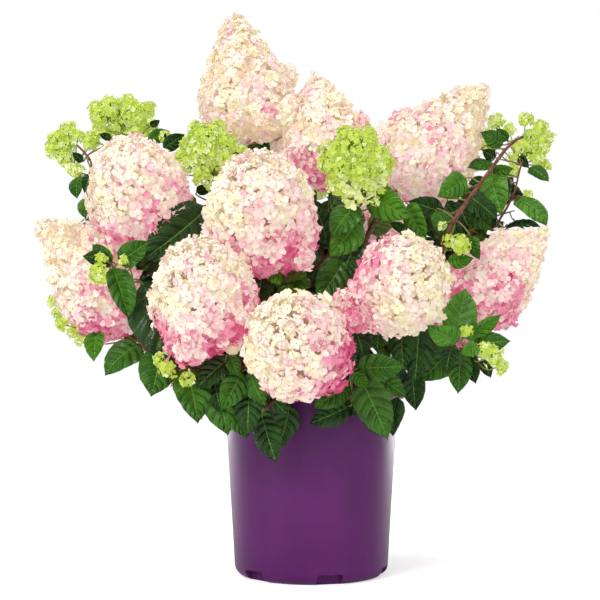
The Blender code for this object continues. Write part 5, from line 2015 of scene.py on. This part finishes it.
@dataclass
class NurseryPot:
    """The blow-moulded pot: a thin tapered wall, a flared rim and notches at its foot."""

    height: float = 0.252
    rim_radius: float = 0.138
    rim_depth: float = 0.008
    rim_slant: float = 0.005
    wall_top_radius: float = 0.1236
    wall_foot_radius: float = 0.1085
    wall: float = 0.003
    foot_radius: float = 0.098
    foot_corner: float = 0.015
    floor: float = 0.004
    bench_height: float = 0.0185
    bench_radius: float = 0.081
    segments: int = 144
    notches: int = 6
    notch_angle: float = math.radians(13)
    notch_width: float = 0.035
    notch_height: float = 0.0145
    notch_depth: float = 0.0145
    notch_corner: float = 0.003

    def wall_radius(self, height: float) -> float:
        """Outer radius of the tapered wall."""
        share = (height - self.foot_corner) / (self.height - self.rim_depth - self.foot_corner)
        return self.wall_foot_radius + (self.wall_top_radius - self.wall_foot_radius) * share

    def profile(self) -> list[tuple[float, float]]:
        """Radius and height down the inside, over the rim and down the outside."""
        top = self.height
        inside = [
            (self.bench_radius, self.floor),
            (self.bench_radius + 0.001, self.bench_height - 0.001),
            (self.bench_radius + 0.003, self.bench_height),
            (self.wall_radius(self.bench_height) - self.wall - 0.002, self.bench_height),
            (self.wall_radius(self.bench_height) - self.wall, self.bench_height + 0.002),
            (self.wall_top_radius - self.wall, top - self.rim_depth),
            (self.wall_top_radius - self.wall + 0.001, top - 0.0015),
        ]
        rim = [
            (self.wall_top_radius, top - 0.0003),
            (self.wall_top_radius + 0.002, top),
            (self.rim_radius - 0.003, top),
            (self.rim_radius - 0.0012, top - 0.0004),
            (self.rim_radius - 0.0003, top - 0.0013),
            (self.rim_radius, top - 0.0024),
            (self.rim_radius - 0.0003, top - self.rim_depth + self.rim_slant + 0.0004),
            (self.rim_radius - 0.0012, top - self.rim_depth + self.rim_slant - 0.0004),
            (self.wall_top_radius + 0.0012, top - self.rim_depth + 0.0004),
            (self.wall_top_radius, top - self.rim_depth - 0.0008),
        ]
        levels = np.linspace(top - self.rim_depth - 0.004, 0.018, 9)
        wall = [(self.wall_radius(level), level) for level in levels]
        corner = []
        for step in range(9):
            angle = math.radians(-80 * step / 8)
            corner.append((
                self.wall_foot_radius - self.foot_corner + self.foot_corner * math.cos(angle),
                self.foot_corner + self.foot_corner * math.sin(angle),
            ))
        return inside + rim + wall + corner + [(self.foot_radius - 0.006, 0.0)]

    def shell(self) -> Mesh:
        """The turned pot before its notches, closed at the floor and underneath."""
        profile = self.profile()
        angles = np.arange(self.segments) * math.tau / self.segments
        rings = np.array([
            np.column_stack((r * np.sin(angles), -r * np.cos(angles), np.full(self.segments, z)))
            for r, z in profile
        ])
        batch = Batch()
        batch.add(rings, Faces.tube(len(profile), self.segments))
        mesh = batch.mesh("pot")
        turn = bmesh.new()
        turn.from_mesh(mesh)
        bmesh.ops.recalc_face_normals(turn, faces=turn.faces)
        turn.to_mesh(mesh)
        turn.free()
        return mesh

    def cutter(self, index: int) -> Object:
        """The block that cuts one notch, its upper edges rounded."""
        angle = self.notch_angle + index * math.tau / self.notches
        reach = self.notch_depth + 0.02
        block = bmesh.new()
        bmesh.ops.create_cube(block, size=1.0)
        bmesh.ops.scale(block, vec=(self.notch_width, reach, 2 * self.notch_height), verts=block.verts)
        edges = [edge for edge in block.edges if abs(edge.verts[0].co.x - edge.verts[1].co.x) < 1e-6]
        bmesh.ops.bevel(block, geom=edges, offset=self.notch_corner, segments=3, affect="EDGES", profile=0.5)
        mesh = bpy.data.meshes.new(f"notch_{index}")
        block.to_mesh(mesh)
        block.free()
        made = add_object(f"notch_{index}", mesh)
        middle = self.wall_foot_radius - self.notch_depth + reach / 2
        made.location = (middle * math.sin(angle), -middle * math.cos(angle), 0.0)
        made.rotation_euler = (0.0, 0.0, angle)
        return made

    def build(self) -> None:
        """Makes the pot, cuts its notches and dresses it."""
        blank = add_object("pot_blank", self.shell())
        cutters = [self.cutter(index) for index in range(self.notches)]
        for cutter in cutters:
            cut = blank.modifiers.new(cutter.name, "BOOLEAN")
            cut.operation = "DIFFERENCE"
            cut.solver = "EXACT"
            cut.object = cutter
        soften = blank.modifiers.new("soften", "BEVEL")
        soften.width = 0.0007
        soften.segments = 2
        soften.limit_method = "ANGLE"
        soften.angle_limit = math.radians(50)
        bpy.context.view_layer.update()
        graph = bpy.context.evaluated_depsgraph_get()
        mesh = bpy.data.meshes.new_from_object(blank.evaluated_get(graph))
        for extra in (blank, *cutters):
            bpy.data.objects.remove(extra, do_unlink=True)
        mesh.shade_smooth()
        mesh.set_sharp_from_angle(angle=math.radians(40))
        mesh.name = "nursery_pot"
        place_piece("nursery_pot", mesh, PotFinish(), ["pot"])


@dataclass
class PottingMix:
    """The bark mix that fills the pot, with loose chips on top."""

    chips: int = 1500
    chip_length: float = 0.010
    chip_shape: tuple[float, float, float] = (0.5, 0.28, 0.10)
    sides: int = 60
    rings: int = 13
    seed: int = 9

    def body(self) -> Batch:
        """The filling itself, uneven on top."""
        low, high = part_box("potting_mix")
        radius = high.x - 0.0006
        rings = np.linspace(0.0, 1.0, self.rings + 1)[1:]
        angles = np.arange(self.sides) * math.tau / self.sides
        top = []
        for share in rings:
            bumps = 0.0012 * np.sin(7 * angles + share * 9) + 0.0010 * np.sin(13 * angles - share * 17)
            height = high.z - 0.0022 + bumps * (1.0 - 0.6 * share)
            top.append(circle_points(radius * share, angles, height))
        foot = low.x * -1.0 - 0.016
        for reach, height in ((radius - 0.0130, low.z + 0.016), (foot * 0.7, low.z + 0.0005)):
            top.append(circle_points(reach, angles, height))
        batch = Batch()
        batch.add(np.array(top), Faces.tube(len(top), self.sides))
        return batch

    def chip_points(self, chance: Chance, count: int) -> Array:
        """Points of many flat broken chips, eight each."""
        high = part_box("potting_mix")[1]
        reach = (high.x - 0.006) * np.sqrt(chance.uniform(0.02, 1.0, count))
        angle = chance.uniform(0.0, math.tau, count)
        level = high.z - 0.001 + chance.uniform(-0.001, 0.003, count)
        middles = circle_points(reach, angle, level)
        axes = unit(UP + chance.normal(0.0, 0.35, (count, 3)))
        first, second = frames_of(axes)
        spin = chance.uniform(0.0, math.tau, (count, 1))
        long = first * np.cos(spin) + second * np.sin(spin)
        wide = np.cross(axes, long)
        size = self.chip_length * chance.uniform(0.4, 1.2, (count, 1))
        length, width, depth = self.chip_shape
        corners = []
        for a in (-1, 1):
            for b in (-1, 1):
                for c in (-1, 1):
                    ragged = chance.uniform(0.6, 1.0, (count, 3))
                    corners.append(
                        middles
                        + long * (a * size * length * ragged[:, :1])
                        + wide * (b * size * width * ragged[:, 1:2])
                        + axes * (c * size * depth * ragged[:, 2:])
                    )
        return np.stack(corners, axis=1)

    def build(self) -> None:
        """Makes the filling and its chips in two shades."""
        chance = np.random.default_rng(self.seed)
        dark = ChipFinish("damp_mix", "#4A3524", "#2A1D14")
        place_piece("potting_mix_body", self.body(), dark, ["potting_mix"])
        shades = (("chips_brown", "#6B4A31", "#3E2A1B"), ("chips_pale", "#8C6848", "#5B3F29"))
        for name, light, shade in shades:
            batch = Batch()
            batch.add(self.chip_points(chance, self.chips // 2), BOX)
            mesh = batch.mesh(name)
            mesh.shade_flat()
            place_piece(name, mesh, ChipFinish(name, light, shade), ["potting_mix"])


# Studio


@dataclass(frozen=True)
class Softbox:
    """A large soft lamp that faces the plant. Its sizes are its width and height."""

    name: str
    place: tuple[float, float, float]
    sizes: tuple[float, float]
    power: float
    only_sheen: bool = False
    aim: tuple[float, float, float] = (0.0, 0.0, 0.42)

    def build(self) -> None:
        """Hangs the lamp."""
        data = bpy.data.lights.new(self.name, "AREA")
        data.shape = "RECTANGLE"
        data.size, data.size_y = self.sizes
        data.energy = self.power
        made = add_object(self.name, data)
        made.location = self.place
        made.visible_diffuse = not self.only_sheen
        towards = Vector(self.aim) - made.location
        made.rotation_euler = towards.to_track_quat("-Z", "Y").to_euler()


@dataclass(frozen=True)
class Studio:
    """White surroundings, a pale floor, soft lamps and two panels behind that only give sheen."""

    lamps: tuple[Softbox, ...] = (
        Softbox("key_lamp", (-1.3, -2.3, 1.7), (1.1, 1.1), 50.0),
        Softbox("fill_lamp", (1.6, -2.0, 0.9), (1.5, 1.5), 13.0),
        Softbox("top_lamp", (0.1, 0.2, 2.6), (1.5, 1.5), 26.0),
        Softbox("band_lamp", (-1.5, -1.0, 0.45), (0.35, 1.3), 3.0),
        Softbox("left_panel", (-1.6, 1.9, 0.5), (1.6, 1.6), 60.0, True),
        Softbox("right_panel", (1.6, 1.9, 0.5), (1.6, 1.6), 75.0, True),
    )
    ambient: float = 0.52
    floor_glow: float = 0.50
    backdrop: float = 1.0
    sheen: float = 0.22
    floor_size: float = 14.0

    def build_world(self) -> None:
        """White surroundings that light and mirror more faintly than they look."""
        world = bpy.data.worlds.new("studio")
        bpy.context.scene.world = world
        world.use_nodes = True
        tree = world.node_tree
        sky = tree.nodes["Background"]
        sky.inputs["Color"].default_value = (1.0, 1.0, 1.0, 1.0)
        ray = add_node(tree, "LightPath")
        seen = add_node(tree, "MapRange", To_Min=self.sheen, To_Max=self.backdrop)
        lit = add_node(tree, "MapRange", To_Max=self.ambient)
        join(
            tree,
            (ray, "Is Camera Ray", seen, "Value"),
            (ray, "Is Diffuse Ray", lit, "Value"),
            (seen, "Result", lit, "To Min"),
            (lit, "Result", sky, "Strength"),
        )

    def build_floor(self) -> None:
        """A plain white floor under the pot."""
        half = self.floor_size / 2
        batch = Batch()
        corners = np.array(((-half, -half, 0.0), (half, -half, 0.0), (half, half, 0.0), (-half, half, 0.0)))
        batch.add(corners, Faces.of([(0, 1, 2, 3)], 4))
        floor = add_object("studio_floor", batch.mesh("studio_floor"))
        made, tree, shader = blank_material("floor_white", Roughness=0.8, Specular_IOR_Level=0.0)
        shader.inputs["Emission Color"].default_value = (1.0, 1.0, 1.0, 1.0)
        tone = EFFECTS.mottled(tree, paint("#FEFEFE"), paint("#FBFBFB"), 2.0, 50.0)
        ray = add_node(tree, "LightPath")
        glow = add_math(tree, "MULTIPLY", self.floor_glow)
        join(
            tree,
            (ray, "Is Camera Ray", glow, 0),
            (glow, "Value", shader, "Emission Strength"),
            (tone, "Colour", shader, "Base Color"),
        )
        floor.data.materials.append(made)

    def build(self) -> None:
        """Sets up the studio."""
        self.build_world()
        self.build_floor()
        for lamp in self.lamps:
            lamp.build()
        bpy.context.scene.view_settings.view_transform = "Standard"


def write_sizes() -> None:
    """Brings the view layer up to date."""
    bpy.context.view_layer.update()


def main() -> None:
    """Builds the plant, its pot and the studio."""
    logging.basicConfig(level=logging.INFO, format="%(name)s: %(message)s")
    VIEW.camera()
    NurseryPot().build()
    PottingMix().build()
    shrub = Shrub()
    shrub.build()
    FlowerCones().build()
    YoungHeads().build(shrub.sprigs)
    Studio().build()
    write_sizes()


if __name__ == "__main__":
    main()
